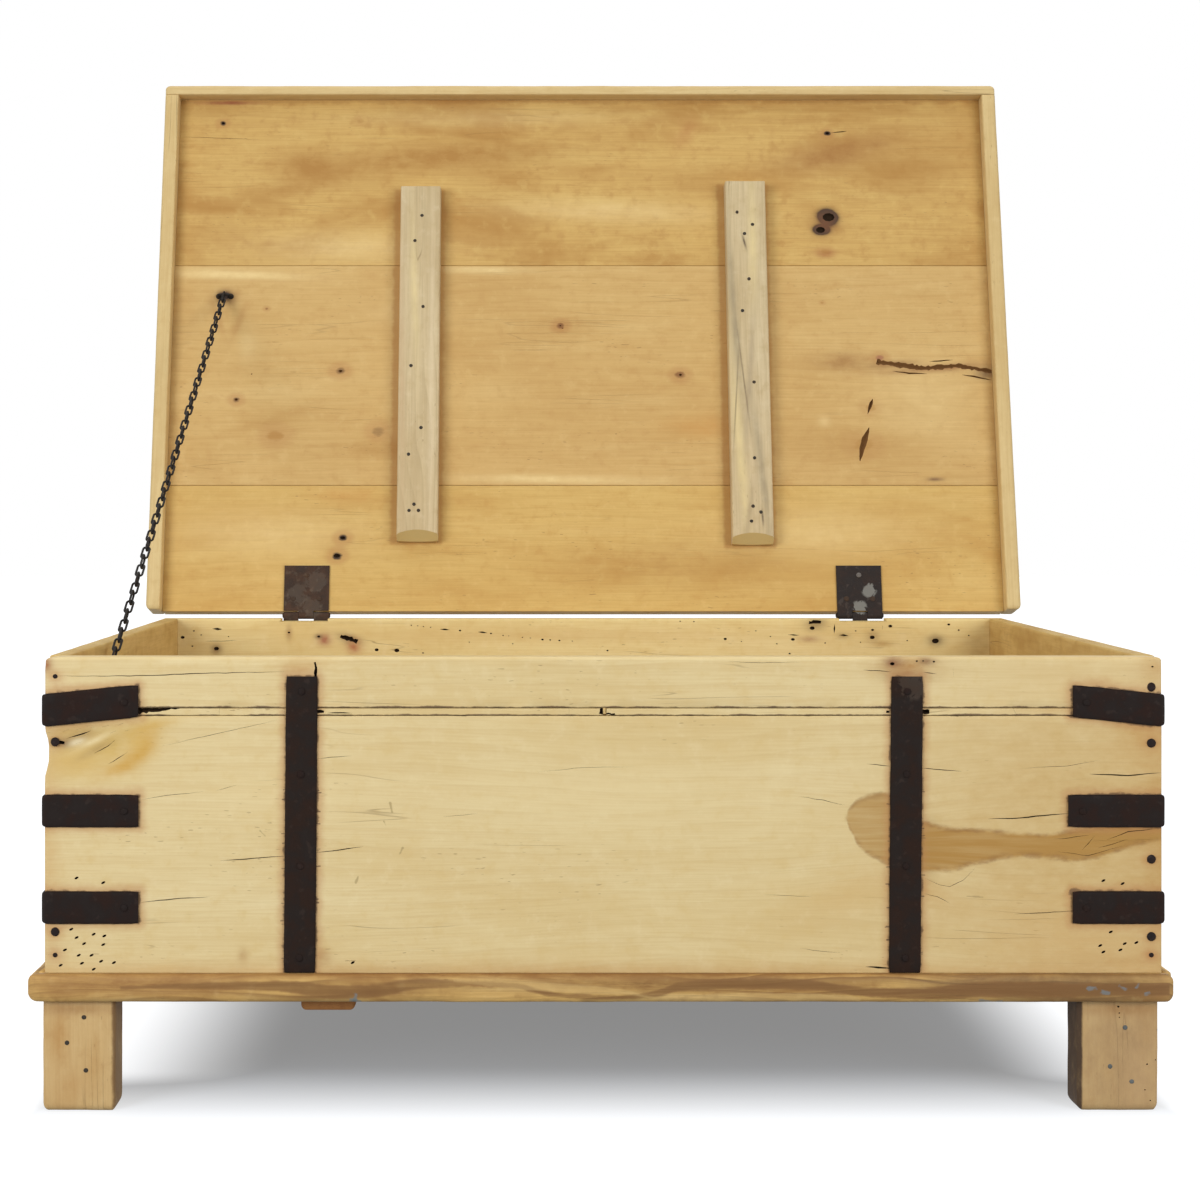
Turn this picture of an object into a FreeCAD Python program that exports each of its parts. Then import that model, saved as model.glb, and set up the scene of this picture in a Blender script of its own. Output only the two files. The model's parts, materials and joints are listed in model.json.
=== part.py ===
import FreeCAD, Part
import math
import os

os.makedirs("parts", exist_ok=True)
Vector = FreeCAD.Vector

# The chest, in millimetres: X to the right, Y to the back from the front wall's face, Z up from the floor
chest_width = 1048.0
chest_depth = 684.0
rim_height = 426.0
leg_height = 104.0
floor_thickness = 16.0
front_thickness = 22.0
side_thickness = 20.0
board_gap = 0.4
board_ease = 0.9
rim_round = 3.0
left_rail_corner = 7.5
right_rail_corner = 5.5
cut_overrun = 3.0

# Front wall: a top rail, a thin filler in two lengths, and one wide board
top_rail_height = 48.0
filler_height = 6.6
filler_split_x = 1.5
filler_split_gap = 3.0
filler_setback = 0.8
side_rail_share = 0.42
rear_rail_share = 0.36
floor_board_count = 4

# Moulding round the foot of the walls, and the battens under the floor
trim_height = 26.0
front_trim_thickness = 11.0
left_trim_thickness = 14.2
right_trim_thickness = 8.8
trim_round = 8.0
trim_seat = 0.3
floor_batten_width = 51.0
floor_batten_thickness = 13.0
floor_batten_inset = 264.5
left_batten_setback = 15.0
right_batten_setback = 60.0

# Block legs
left_leg_width = 68.0
right_leg_width = 75.6
leg_depth = 42.0
left_leg_overhang = 2.0
right_leg_inset = 3.4
leg_ease = 4.0
left_leg_bevel = 4.0
right_leg_bevel = 8.0

# Iron straps
strap_thickness = 3.0
strap_width = 31.0
corner_strap_reach = 91.0
short_strap_reach = 86.7
strap_corner_cut = 2.0
strap_tilt_rise = 8.5
face_strap_width = 30.0
face_strap_inset = 240.3
face_strap_lean = 2.3
face_strap_cut = 0.8
face_strap_top_below_rim = 18.4
corner_strap_shares = (0.154, 0.488, 0.794)

# Forged nail heads
nail_sides = 8
nail_crown_share = 0.55
strap_nail_radius = 3.6
strap_nail_height = 1.4
wall_nail_radius = 4.4
wall_nail_height = 1.3
small_nail_radius = 2.3
small_nail_height = 0.7
strap_nail_share = 0.86
face_nail_shares = (0.05, 0.36, 0.67, 0.95)
right_wall_nail_shares = ((0, 0.02), (1, 0.78), (2, 0.50), (3, 0.80))
left_wall_nail_shares = ((1, 0.80), (3, 0.92))
right_small_nail_shares = ((3, 0.345),)
left_small_nail_shares = ((0, 0.44), (3, 0.345))
left_leg_nail_shares = ((0.073, 0.846), (-0.161, 0.616), (0.100, 0.368))
right_leg_nail_shares = ((0.087, 0.754), (-0.100, 0.404), (0.169, 0.267))

# Lid: three boards inside edging strips that hang over the front and the sides
lid_gap = 0.3
lid_board_thickness = 24.5
front_lip_gap = 2.0
front_lip_thickness = 13.2
side_lip_gap = 3.8
side_lip_thickness = 18.0
lip_depth = 18.0
lid_corner_round = 7.0
lid_edge_ease = 2.5
lid_joint_shares = (0.2364, 0.6639)
lid_batten_width = 52.0
lid_batten_thickness = 20.0
lid_batten_end_round = 9.0
lid_batten_ease = 2.0
left_lid_batten_inset = 337.6
left_lid_batten_start = 88.0
left_lid_batten_length = 470.0
right_lid_batten_inset = 332.0
right_lid_batten_start = 84.0
right_lid_batten_length = 481.0
left_batten_nail_shares = (
    (0.913, 0.037), (0.840, -0.131), (0.650, 0.087), (0.482, -0.194), (0.308, 0.067),
    (0.234, -0.229), (0.079, -0.200), (0.096, -0.081), (0.079, 0.029),
)
right_batten_nail_shares = (
    (0.910, -0.215), (0.875, 0.163), (0.849, -0.042), (0.721, 0.042), (0.632, -0.137),
    (0.434, 0.106), (0.227, 0.073), (0.097, 0.008), (0.081, 0.198), (0.057, -0.037),
)

# Butt hinges: leaf on the lid's underside, leaf on the back of the rear wall
hinge_inset = 177.0
hinge_notch_depth = 3.5
leaf_width = 56.5
leaf_length = 58.0
leaf_thickness = 2.0
leaf_clearance = 0.8
knuckle_radius = 4.5
knuckle_gap = 0.3
hinge_pin_radius = 2.0
pin_clearance = 0.06
pin_head_radius = 3.8
pin_head_height = 1.4
axis_gap = 0.4
screw_radius = 3.4
screw_height = 1.0
lid_screw_shares = ((0.79, 0.0), (0.27, -0.29), (0.27, 0.29))
wall_screw_shares = ((0.35, -0.28), (0.35, 0.28), (0.80, -0.28), (0.80, 0.28))
open_past_upright = 12.75

# Stay chain: straight, taut and slanting when the lid stands open
chain_wire = 2.8
link_width = 9.5
link_nominal_pitch = 15.7
link_clearance = 0.3
wire_sides = 6
bow_chords = 4
wall_pivot_y = 148.0
wall_pivot_below_rim = 32.2
wall_pivot_off_wall = 10.5
lid_pivot_from_edging = 66.3
lid_pivot_share = 0.6028
lid_pivot_below_board = 8.0
staple_wire = 3.0
wall_staple_legs = 10.0
lid_staple_legs = 15.0
staple_bend = 2.0
staple_play = 0.6
fold_share = 0.75
fold_stack_gap = 1.0
steepest_fold_share = 0.9
closed_floor_clearance = 3.0
metre = 1000.0

# Derived places of the chest
half_width = chest_width / 2
floor_bottom = leg_height
floor_top = floor_bottom + floor_thickness
wall_height = rim_height - floor_top
inner_left = -half_width + side_thickness
inner_right = half_width - side_thickness
inner_rear = chest_depth - front_thickness
trim_bottom = floor_bottom
trim_top = trim_bottom + trim_height
left_leg_outer = -half_width - left_leg_overhang
left_leg_inner = left_leg_outer + left_leg_width
right_leg_outer = half_width - right_leg_inset
right_leg_inner = right_leg_outer - right_leg_width
left_strap_reaches = (corner_strap_reach, corner_strap_reach, corner_strap_reach)
right_strap_reaches = (short_strap_reach, corner_strap_reach, short_strap_reach)
face_height = rim_height - trim_top
corner_strap_levels = [rim_height - share * face_height for share in corner_strap_shares]
floor_batten_x = half_width - floor_batten_inset
face_strap_x = half_width - face_strap_inset
hinge_x = half_width - hinge_inset

# Derived places of the closed lid
lid_under = rim_height + lid_gap
lid_top = lid_under + lid_board_thickness
lip_bottom = lid_under - lip_depth
lid_inner_half = half_width + side_lip_gap
lid_half = lid_inner_half + side_lip_thickness
lid_board_front = -front_lip_gap
lid_front = lid_board_front - front_lip_thickness
lid_board_length = chest_depth - lid_board_front
left_lid_batten_x = left_lid_batten_inset - lid_half
right_lid_batten_x = lid_half - right_lid_batten_inset

# Hinge axis, in the YZ plane
axis_y = chest_depth + axis_gap + knuckle_radius
axis_z = lid_under - leaf_thickness + knuckle_radius
open_turn = 90 + open_past_upright
leaf_seat = rim_height - hinge_notch_depth


def turned(y, z):
    """A point of the closed lid, in the YZ plane, once the lid stands open."""
    turn = math.radians(-open_turn)
    dy, dz = y - axis_y, z - axis_z
    return (
        axis_y + dy * math.cos(turn) - dz * math.sin(turn),
        axis_z + dy * math.sin(turn) + dz * math.cos(turn),
    )


# Chain pivots: one leg of the wall staple, and the crown of the lid staple
wall_pivot = Vector(inner_left + wall_pivot_off_wall, wall_pivot_y, rim_height - wall_pivot_below_rim)
lid_pivot_closed = Vector(
    lid_pivot_from_edging - lid_inner_half,
    chest_depth - lid_pivot_share * lid_board_length,
    lid_under - lid_pivot_below_board,
)
lid_pivot = Vector(lid_pivot_closed.x, *turned(lid_pivot_closed.y, lid_pivot_closed.z))

# The open lid reaches furthest back at the bevel of its front upper edge
furthest_back = turned(lid_front + lid_edge_ease, lid_top)[0]
origin_y = (furthest_back - front_trim_thickness) / 2

nodes = {}


def add(name, *solids):
    """Put solids in a node, in the chest's own frame."""
    nodes.setdefault(name, []).extend(solids)


def block(x0, x1, y0, y1, z0, z1):
    return Part.makeBox(x1 - x0, y1 - y0, z1 - z0, Vector(x0, y0, z0))


def eased(shape, size=board_ease):
    """A board with all its sharp edges taken off."""
    return shape.makeChamfer(size, shape.Edges)


def edges_where(shape, test):
    """Edges whose end points all pass a test."""
    return [e for e in shape.Edges if all(test(v.Point) for v in e.Vertexes)]


def near(value, target):
    return abs(value - target) < board_gap / 2


def open_lid(shape):
    """Swing a closed lid's shape about the hinge axis to where it stands open."""
    opened = shape.copy()
    opened.rotate(Vector(0, axis_y, axis_z), Vector(1, 0, 0), -open_turn)
    return opened


def skin(rings, closed):
    """A solid with flat facets through rings of points, with a cap on each end or joined in a loop."""
    faces = []
    count = len(rings)
    for i in range(count if closed else count - 1):
        here, there = rings[i], rings[(i + 1) % count]
        for k in range(len(here)):
            n = (k + 1) % len(here)
            corners = [here[k], there[k], there[n], here[n], here[k]]
            faces.append(Part.Face(Part.makePolygon(corners)))
    if not closed:
        for ring in (rings[0], rings[-1]):
            faces.append(Part.Face(Part.makePolygon(ring + ring[:1])))
    shell = Part.Shell(faces)
    shell.sewShape()
    solid = Part.Solid(shell)
    if solid.Volume < 0:
        solid.reverse()
    return solid


def unit(vector):
    return Vector(vector).normalize()


def bent_wire(path, normal, radius, closed):
    """A wire with flat facets along a flat path, mitred at each bend."""
    rings = []
    last = len(path) - 1
    for i, point in enumerate(path):
        after = path[(i + 1) % len(path)]
        incoming = unit(point - path[i - 1]) if closed or i > 0 else unit(after - point)
        outgoing = unit(after - point) if closed or i < last else incoming
        along = unit(incoming + outgoing)
        outward = along.cross(normal)
        stretch = 1 / along.dot(incoming)
        ring = []
        for k in range(wire_sides):
            turn = 2 * math.pi * k / wire_sides
            ring.append(
                point + outward * (radius * math.cos(turn) * stretch) + normal * (radius * math.sin(turn))
            )
        rings.append(ring)
    return skin(rings, closed)


def nail(seat, direction, radius, height):
    """A forged nail head: a low faceted crown on its seat."""
    direction = unit(direction)
    side = Vector(direction.y, direction.z, direction.x)
    other = direction.cross(side)
    rings = []
    for lift, size in ((0, radius), (height, radius * nail_crown_share)):
        ring = []
        for k in range(nail_sides):
            turn = 2 * math.pi * k / nail_sides
            ring.append(
                seat + direction * lift + side * (size * math.cos(turn)) + other * (size * math.sin(turn))
            )
        rings.append(ring)
    return skin(rings, False)


def rim_waste(side, size, y0, y1):
    """What has worn off a rim board's upper corner."""
    inner, outer = side * (half_width - size), side * (half_width + cut_overrun)
    start, end = y0 - cut_overrun, y1 + cut_overrun
    bottom = rim_height - size
    waste = block(min(inner, outer), max(inner, outer), start, end, bottom, rim_height + cut_overrun)
    return waste.cut(Part.makeCylinder(size, end - start, Vector(inner, start, bottom), Vector(0, 1, 0)))


def rim_board(y0, y1, z0, left_corner, right_corner):
    """A board of the rim as long as the chest, worn round on its upper edges and corners."""
    board = block(-half_width, half_width, y0, y1, z0, rim_height)
    long_edges = [e for e in edges_where(board, lambda p: near(p.z, rim_height)) if e.Length > half_width]
    board = board.makeFillet(rim_round, long_edges)
    return board.cut([rim_waste(-1, left_corner, y0, y1), rim_waste(1, right_corner, y0, y1)])


def hinge_notch(side):
    """The shallow seat that a lid leaf closes into."""
    reach = leaf_width / 2 + leaf_clearance
    return block(
        side * hinge_x - reach, side * hinge_x + reach,
        inner_rear - cut_overrun, chest_depth + cut_overrun, leaf_seat, lid_top,
    )


def walls():
    rail_bottom = rim_height - top_rail_height
    filler_bottom = rail_bottom - board_gap - filler_height
    board_top = filler_bottom - board_gap
    add("front_top_rail", rim_board(0, front_thickness, rail_bottom, left_rail_corner, right_rail_corner))
    for x0, x1 in (
        (-half_width, filler_split_x - filler_split_gap / 2),
        (filler_split_x + filler_split_gap / 2, half_width),
    ):
        strip = block(x0, x1, filler_setback, front_thickness, filler_bottom, rail_bottom - board_gap)
        add("front_filler_strip", eased(strip, board_gap))
    add("front_board", eased(block(-half_width, half_width, 0, front_thickness, floor_top, board_top)))

    rear_joint = rim_height - wall_height * rear_rail_share
    rear_top = rim_board(inner_rear, chest_depth, rear_joint, rim_round, rim_round)
    for side in (-1, 1):
        rear_top = rear_top.cut(hinge_notch(side))
    add("rear_top_board", rear_top)
    rear_low = block(-half_width, half_width, inner_rear, chest_depth, floor_top, rear_joint - board_gap)
    add("rear_lower_board", eased(rear_low))

    side_joint = rim_height - wall_height * side_rail_share
    for name, x0, x1 in (
        ("left", -half_width, inner_left),
        ("right", inner_right, half_width),
    ):
        span = (x0, x1, front_thickness, inner_rear)
        board = block(*span, side_joint, rim_height)
        long_top = edges_where(board, lambda p: near(p.z, rim_height))
        long_top = [e for e in long_top if e.Length > side_thickness * 2]
        add(name + "_top_board", board.makeFillet(rim_round, long_top))
        add(name + "_lower_board", eased(block(*span, floor_top, side_joint - board_gap)))


def floor():
    pitch = (chest_depth + board_gap) / floor_board_count
    for i in range(floor_board_count):
        y0 = i * pitch
        board = block(-half_width, half_width, y0, y0 + pitch - board_gap, floor_bottom, floor_top)
        add("floor_board_%d" % (i + 1), eased(board))
    for name, x, setback in (
        ("floor_batten_left", -floor_batten_x, left_batten_setback),
        ("floor_batten_right", floor_batten_x, right_batten_setback),
    ):
        batten = block(
            x - floor_batten_width / 2, x + floor_batten_width / 2,
            setback, chest_depth - setback,
            floor_bottom - floor_batten_thickness, floor_bottom,
        )
        add(name, eased(batten))


def base_trim():
    """Moulding round the foot; the front and rear lengths cover the ends of the side ones."""
    left = -half_width - left_trim_thickness
    right = half_width + right_trim_thickness
    front, rear = -front_trim_thickness, chest_depth + front_trim_thickness
    for name, y0, y1, outer_y in (
        ("base_trim_front", front, 0, front),
        ("base_trim_rear", chest_depth, rear, rear),
    ):
        strip = block(left, right, y0, y1, trim_bottom, trim_top)
        add(name, strip.makeFillet(trim_round, edges_where(strip, lambda p: near(p.y, outer_y))))
    for name, x0, x1, outer_x in (
        ("base_trim_left", left, -half_width, left),
        ("base_trim_right", half_width, right, right),
    ):
        strip = block(x0, x1, 0, chest_depth, trim_bottom, trim_top)
        round_edges = edges_where(strip, lambda p: near(p.x, outer_x))
        round_edges = [e for e in round_edges if e.Length > trim_height * 2]
        add(name, strip.makeFillet(trim_round, round_edges))


def block_leg(outer, inner, face, back, bevel):
    """A leg with its upright corners and its foot worn off, most of all at the inner corner of its face."""
    leg = block(min(outer, inner), max(outer, inner), min(face, back), max(face, back), 0, leg_height)
    for x, y in ((inner, face), (outer, face), (inner, back), (outer, back)):
        size = bevel if (x, y) == (inner, face) else leg_ease
        leg = leg.makeChamfer(size, edges_where(leg, lambda p: near(p.x, x) and near(p.y, y)))
    return leg.makeChamfer(leg_ease, edges_where(leg, lambda p: near(p.z, 0)))


def legs():
    """Four block legs and their nails."""
    for end, face, inward in (("front", 0, 1), ("rear", chest_depth, -1)):
        outward = Vector(0, -inward, 0)
        back = face + inward * leg_depth
        for name, outer, inner, bevel, shares in (
            ("left", left_leg_outer, left_leg_inner, left_leg_bevel, left_leg_nail_shares),
            ("right", right_leg_outer, right_leg_inner, right_leg_bevel, right_leg_nail_shares),
        ):
            add("leg_%s_%s" % (end, name), block_leg(outer, inner, face, back, bevel))
            for across, up in shares:
                seat = Vector((outer + inner) / 2 + across * abs(outer - inner), face, up * leg_height)
                add("leg_nails", nail(seat, outward, small_nail_radius, small_nail_height))


def strap_plate(corner, run, rise, outward):
    """A flat iron bar from the corner along a run, rising as it goes, on the outward side of its face."""
    half = Vector(0, 0, strap_width / 2)
    end = corner + run + Vector(0, 0, rise)
    cut = strap_corner_cut
    back = unit(run) * cut
    slope = Vector(0, 0, cut)
    outline = [
        corner - half, end - half - back, end - half + slope,
        end + half - slope, end + half - back, corner + half, corner - half,
    ]
    return Part.Face(Part.makePolygon(outline)).extrude(outward * strap_thickness)


def corner_straps():
    """Three straps bent round each corner, the top one nailed on askew."""
    for name, sx, sy in (
        ("front_left", -1, -1), ("front_right", 1, -1), ("rear_left", -1, 1), ("rear_right", 1, 1),
    ):
        face_y = 0 if sy < 0 else chest_depth
        face_x = sx * half_width
        reaches = right_strap_reaches if sx > 0 else left_strap_reaches
        for height, rise, reach in zip(corner_strap_levels, (strap_tilt_rise, 0, 0), reaches):
            edge = Vector(face_x + sx * strap_thickness, face_y, height - rise / 2)
            wall_bar = strap_plate(edge, Vector(-sx * reach, 0, 0), rise, Vector(0, sy, 0))
            bend = Vector(face_x, face_y, height - rise / 2)
            side_reach = corner_strap_reach - strap_thickness
            side_bar = strap_plate(bend, Vector(0, -sy * side_reach, 0), -rise, Vector(sx, 0, 0))
            add("corner_straps_" + name, wall_bar.fuse(side_bar).removeSplitter())
            lift = strap_nail_share * rise
            on_wall = edge + Vector(-sx * strap_nail_share * reach, sy * strap_thickness, lift)
            on_side = bend + Vector(sx * strap_thickness, -sy * strap_nail_share * side_reach, -lift)
            add("strap_nails", nail(on_wall, Vector(0, sy, 0), strap_nail_radius, strap_nail_height))
            add("strap_nails", nail(on_side, Vector(sx, 0, 0), strap_nail_radius, strap_nail_height))


def face_straps():
    """The two upright straps on the front wall, which lean a little to the right."""
    bottom = trim_top + trim_seat
    top = rim_height - face_strap_top_below_rim
    for name, side in (("left", -1), ("right", 1)):
        low = side * face_strap_x - face_strap_lean / 2
        high = low + face_strap_lean
        half = face_strap_width / 2
        outline = [
            Vector(low - half, 0, bottom), Vector(low + half, 0, bottom),
            Vector(high + half, 0, top - face_strap_cut), Vector(high + half - face_strap_cut, 0, top),
            Vector(high - half + face_strap_cut, 0, top), Vector(high - half, 0, top - face_strap_cut),
            Vector(low - half, 0, bottom),
        ]
        plate = Part.Face(Part.makePolygon(outline)).extrude(Vector(0, -strap_thickness, 0))
        add("face_strap_" + name, plate)
        for share in face_nail_shares:
            seat = Vector(low + share * (high - low), -strap_thickness, bottom + share * (top - bottom))
            add("strap_nails", nail(seat, Vector(0, -1, 0), strap_nail_radius, strap_nail_height))


def between_straps():
    """The free stretches of wall over the side boards' ends, from the rim down to the base trim."""
    askew = ((side_thickness / 2 + strap_thickness) / corner_strap_reach - 1 / 2) * strap_tilt_rise
    top, middle, bottom = corner_strap_levels
    edges = [rim_height]
    for level in (top + askew, middle, bottom):
        edges.extend((level + strap_width / 2, level - strap_width / 2))
    edges.append(trim_top)
    return [(low, high) for high, low in zip(edges[::2], edges[1::2])]


def wall_nails():
    """Nails through the front and rear walls into the ends of the side boards, clear of the straps."""
    stretches = between_straps()
    for side, radius, height, shares in (
        (1, wall_nail_radius, wall_nail_height, right_wall_nail_shares),
        (-1, wall_nail_radius, wall_nail_height, left_wall_nail_shares),
        (1, small_nail_radius, small_nail_height, right_small_nail_shares),
        (-1, small_nail_radius, small_nail_height, left_small_nail_shares),
    ):
        x = side * (half_width - side_thickness / 2)
        for stretch, share in shares:
            low, high = stretches[stretch]
            z = low + radius + share * (high - low - 2 * radius)
            for y, outward in ((0, Vector(0, -1, 0)), (chest_depth, Vector(0, 1, 0))):
                add("wall_nails", nail(Vector(x, y, z), outward, radius, height))


def lid_boards():
    splits = [0]
    splits.extend(share * lid_board_length for share in lid_joint_shares)
    splits.append(lid_board_length)
    for name, start, end in zip(("rear", "middle", "front"), splits[:-1], splits[1:]):
        y1 = chest_depth - start - (board_gap / 2 if start else 0)
        y0 = chest_depth - end + (board_gap / 2 if end < lid_board_length else 0)
        board = block(-lid_inner_half, lid_inner_half, y0, y1, lid_under, lid_top)
        add("lid_board_" + name, open_lid(eased(board)))


def lid_edging():
    """Strips round the lid's front and sides; the front one covers the ends of the others."""
    front = block(-lid_half, lid_half, lid_front, lid_board_front, lip_bottom, lid_top)
    uprights = edges_where(front, lambda p: near(p.y, lid_front))
    uprights = [e for e in uprights if e.Length < lid_half]
    front = front.makeFillet(lid_corner_round, uprights)
    outer_edges = []
    for level in (lip_bottom, lid_top):
        for edge in edges_where(front, lambda p: near(p.z, level)):
            if edge.CenterOfMass.y < lid_board_front - board_gap:
                outer_edges.append(edge)
    front = front.makeChamfer(lid_edge_ease, outer_edges)
    add("lid_edge_front", open_lid(front))
    for name, side in (("left", -1), ("right", 1)):
        outer, inner = side * lid_half, side * lid_inner_half
        strip = block(
            min(outer, inner), max(outer, inner), lid_board_front, chest_depth, lip_bottom, lid_top,
        )
        corner = edges_where(strip, lambda p: near(p.x, outer) and near(p.y, chest_depth))
        strip = strip.makeFillet(lid_corner_round, corner)
        outer_edges = []
        for level in (lip_bottom, lid_top):
            for edge in edges_where(strip, lambda p: near(p.z, level)):
                if edge.CenterOfMass.x * side > lid_inner_half + side_lip_thickness / 2 + board_gap:
                    outer_edges.append(edge)
        strip = strip.makeChamfer(lid_edge_ease, outer_edges)
        add("lid_edge_" + name, open_lid(strip))


def lid_battens():
    """Two battens under the lid, rounded at their rear end, with their nails."""
    face = lid_under - lid_batten_thickness
    for name, x, start, length, shares in (
        ("left", left_lid_batten_x, left_lid_batten_start, left_lid_batten_length, left_batten_nail_shares),
        ("right", right_lid_batten_x, right_lid_batten_start, right_lid_batten_length,
         right_batten_nail_shares),
    ):
        rear = chest_depth - start
        batten = block(
            x - lid_batten_width / 2, x + lid_batten_width / 2, rear - length, rear, face, lid_under,
        )
        long_edges = [e for e in edges_where(batten, lambda p: near(p.z, face)) if e.Length > length / 2]
        batten = batten.makeChamfer(lid_batten_ease, long_edges)
        end = edges_where(batten, lambda p: near(p.z, face) and near(p.y, rear))
        add("lid_batten_" + name, open_lid(batten.makeChamfer(lid_batten_end_round, end)))
        for along, across in shares:
            seat = Vector(x + across * lid_batten_width, rear - along * length, face)
            head = nail(seat, Vector(0, 0, -1), small_nail_radius, small_nail_height)
            add("lid_batten_nails", open_lid(head))


def on_axis(radius, x0, x1):
    """A cylinder on the hinge axis."""
    return Part.makeCylinder(radius, x1 - x0, Vector(x0, axis_y, axis_z), Vector(1, 0, 0))


def hinge(name, side, wall_knuckles):
    """One butt hinge: the wall's leaf takes the listed thirds of the barrel, the lid's leaf the rest."""
    x = side * hinge_x
    x0, x1 = x - leaf_width / 2, x + leaf_width / 2
    third = leaf_width / 3
    wall_leaf = block(x0, x1, chest_depth, chest_depth + leaf_thickness, axis_z - leaf_length, leaf_seat)
    lid_face = lid_under - leaf_thickness
    lid_leaf = block(x0, x1, chest_depth - leaf_length, chest_depth - axis_gap, lid_face, lid_under)
    for i in range(3):
        k0 = x0 + i * third + (knuckle_gap / 2 if i else 0)
        k1 = x0 + (i + 1) * third - (knuckle_gap / 2 if i < 2 else 0)
        if i in wall_knuckles:
            tongue = block(k0, k1, chest_depth + axis_gap, chest_depth + leaf_thickness, leaf_seat, axis_z)
            wall_leaf = wall_leaf.fuse(tongue.fuse(on_axis(knuckle_radius, k0, k1)))
        else:
            tongue = block(k0, k1, chest_depth - axis_gap, axis_y, lid_face, lid_under)
            lid_leaf = lid_leaf.fuse(tongue.fuse(on_axis(knuckle_radius, k0, k1)))
    bore = on_axis(hinge_pin_radius + pin_clearance, x0, x1)
    wall_leaf = wall_leaf.cut(bore).removeSplitter()
    lid_leaf = lid_leaf.cut(bore).removeSplitter()
    add("hinge_wall_leaf_" + name, wall_leaf)
    add("hinge_lid_leaf_" + name, open_lid(lid_leaf))

    ends = (x0 - knuckle_gap, x1 + knuckle_gap)
    pin = on_axis(hinge_pin_radius, *ends)
    for end, outward in zip(ends, (-1, 1)):
        seat = Vector(end, axis_y, axis_z)
        pin = pin.fuse(nail(seat, Vector(outward, 0, 0), pin_head_radius, pin_head_height))
    add("hinge_pin_" + name, pin)

    for along, across in lid_screw_shares:
        seat = Vector(x + across * leaf_width, chest_depth - along * leaf_length, lid_face)
        head = nail(seat, Vector(0, 0, -1), screw_radius, screw_height)
        add("hinge_lid_screws", open_lid(head))
    for along, across in wall_screw_shares:
        seat = Vector(x + across * leaf_width, chest_depth + leaf_thickness, axis_z - along * leaf_length)
        add("hinge_wall_screws", nail(seat, Vector(0, 1, 0), screw_radius, screw_height))


def staple(first, second, reach, outward, normal):
    """A staple as a bent wire: two legs from their seats, a crown between, and cut corners."""
    across = unit(second - first) * staple_bend
    path = [
        first,
        first + outward * (reach - staple_bend),
        first + outward * reach + across,
        second + outward * reach - across,
        second + outward * (reach - staple_bend),
        second,
    ]
    return bent_wire(path, normal, staple_wire / 2, False)


def staples():
    """The wall staple holds the end link on one leg, the lid staple on its crown."""
    leg = Vector(inner_left, wall_pivot.y, wall_pivot.z)
    other = leg - Vector(0, wall_staple_legs, 0)
    reach = wall_pivot_off_wall + (chain_wire + staple_wire) / 2 + staple_play
    add("chain_wall_staple", staple(leg, other, reach, Vector(1, 0, 0), Vector(0, 0, 1)))
    centre = Vector(lid_pivot_closed.x, lid_pivot_closed.y, lid_under)
    half = Vector(lid_staple_legs / 2, 0, 0)
    on_lid = staple(centre - half, centre + half, lid_pivot_below_board, Vector(0, 0, -1), Vector(0, 1, 0))
    add("chain_lid_staple", open_lid(on_lid))


# Chain: how many links, and where it divides into stretches that swing by themselves
chain_line = lid_pivot - wall_pivot
chain_span = chain_line.Length
link_count = 2 * round((chain_span / link_nominal_pitch - 1) / 2) + 1
link_pitch = (chain_span + chain_wire + link_clearance) / link_count
link_length = link_pitch + 2 * chain_wire + link_clearance
link_end = (link_length - chain_wire) / 2
link_near = link_pitch - link_end
chain_along = unit(chain_line)
chain_flat_span = math.hypot(chain_line.y, chain_line.z)
flat_share = chain_flat_span / chain_span


def bar(index, end):
    """Distance from the wall pivot to a link's near bar, with end -1, or its far bar, with end 1."""
    return link_near + index * link_pitch + end * link_end


def hanging_links(drop):
    """An odd number of links that hang within a drop, so that the next one turns on a level bar."""
    return 2 * int((drop - link_near) / link_pitch / 2) + 1


wall_drop = wall_pivot.z - floor_top - link_width / 2 - closed_floor_clearance
lid_drop = lid_pivot_closed.z - floor_top - link_width / 2 - closed_floor_clearance - link_width
wall_run_links = hanging_links(wall_drop)
lid_run_links = hanging_links(lid_drop)
fold_links = link_count - wall_run_links - lid_run_links
wall_fold_links = max(1, round(fold_links * fold_share))
cuts = (
    wall_run_links,
    wall_run_links + wall_fold_links,
    link_count - lid_run_links,
)


def chain_link():
    """One link at the origin, long side along X and flat in the XY plane."""
    bow = (link_width - chain_wire) / 2
    straight = (link_length - link_width) / 2
    path = []
    for end, start in ((straight, -90), (-straight, 90)):
        for step in range(bow_chords + 1):
            turn = math.radians(start + 180 * step / bow_chords)
            path.append(Vector(end + bow * math.cos(turn), bow * math.sin(turn), 0))
    return bent_wire(path, Vector(0, 0, 1), chain_wire / 2, True)


def chain():
    """Links turn by turn edge on and face on, from the wall staple to the lid staple."""
    pattern = chain_link()
    edge_side = unit(chain_along.cross(Vector(1, 0, 0)))
    face_side = unit(edge_side.cross(chain_along))
    names = ("chain_wall_run", "chain_wall_fold", "chain_lid_fold", "chain_lid_run")
    for index in range(link_count):
        side = face_side if index % 2 else edge_side
        normal = chain_along.cross(side)
        centre = wall_pivot + chain_along * (link_near + index * link_pitch)
        place = FreeCAD.Matrix(
            chain_along.x, side.x, normal.x, centre.x,
            chain_along.y, side.y, normal.y, centre.y,
            chain_along.z, side.z, normal.z, centre.z,
            0, 0, 0, 1,
        )
        one = pattern.copy()
        one.Placement = FreeCAD.Placement(place)
        add(names[sum(index >= cut for cut in cuts)], one)


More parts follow.
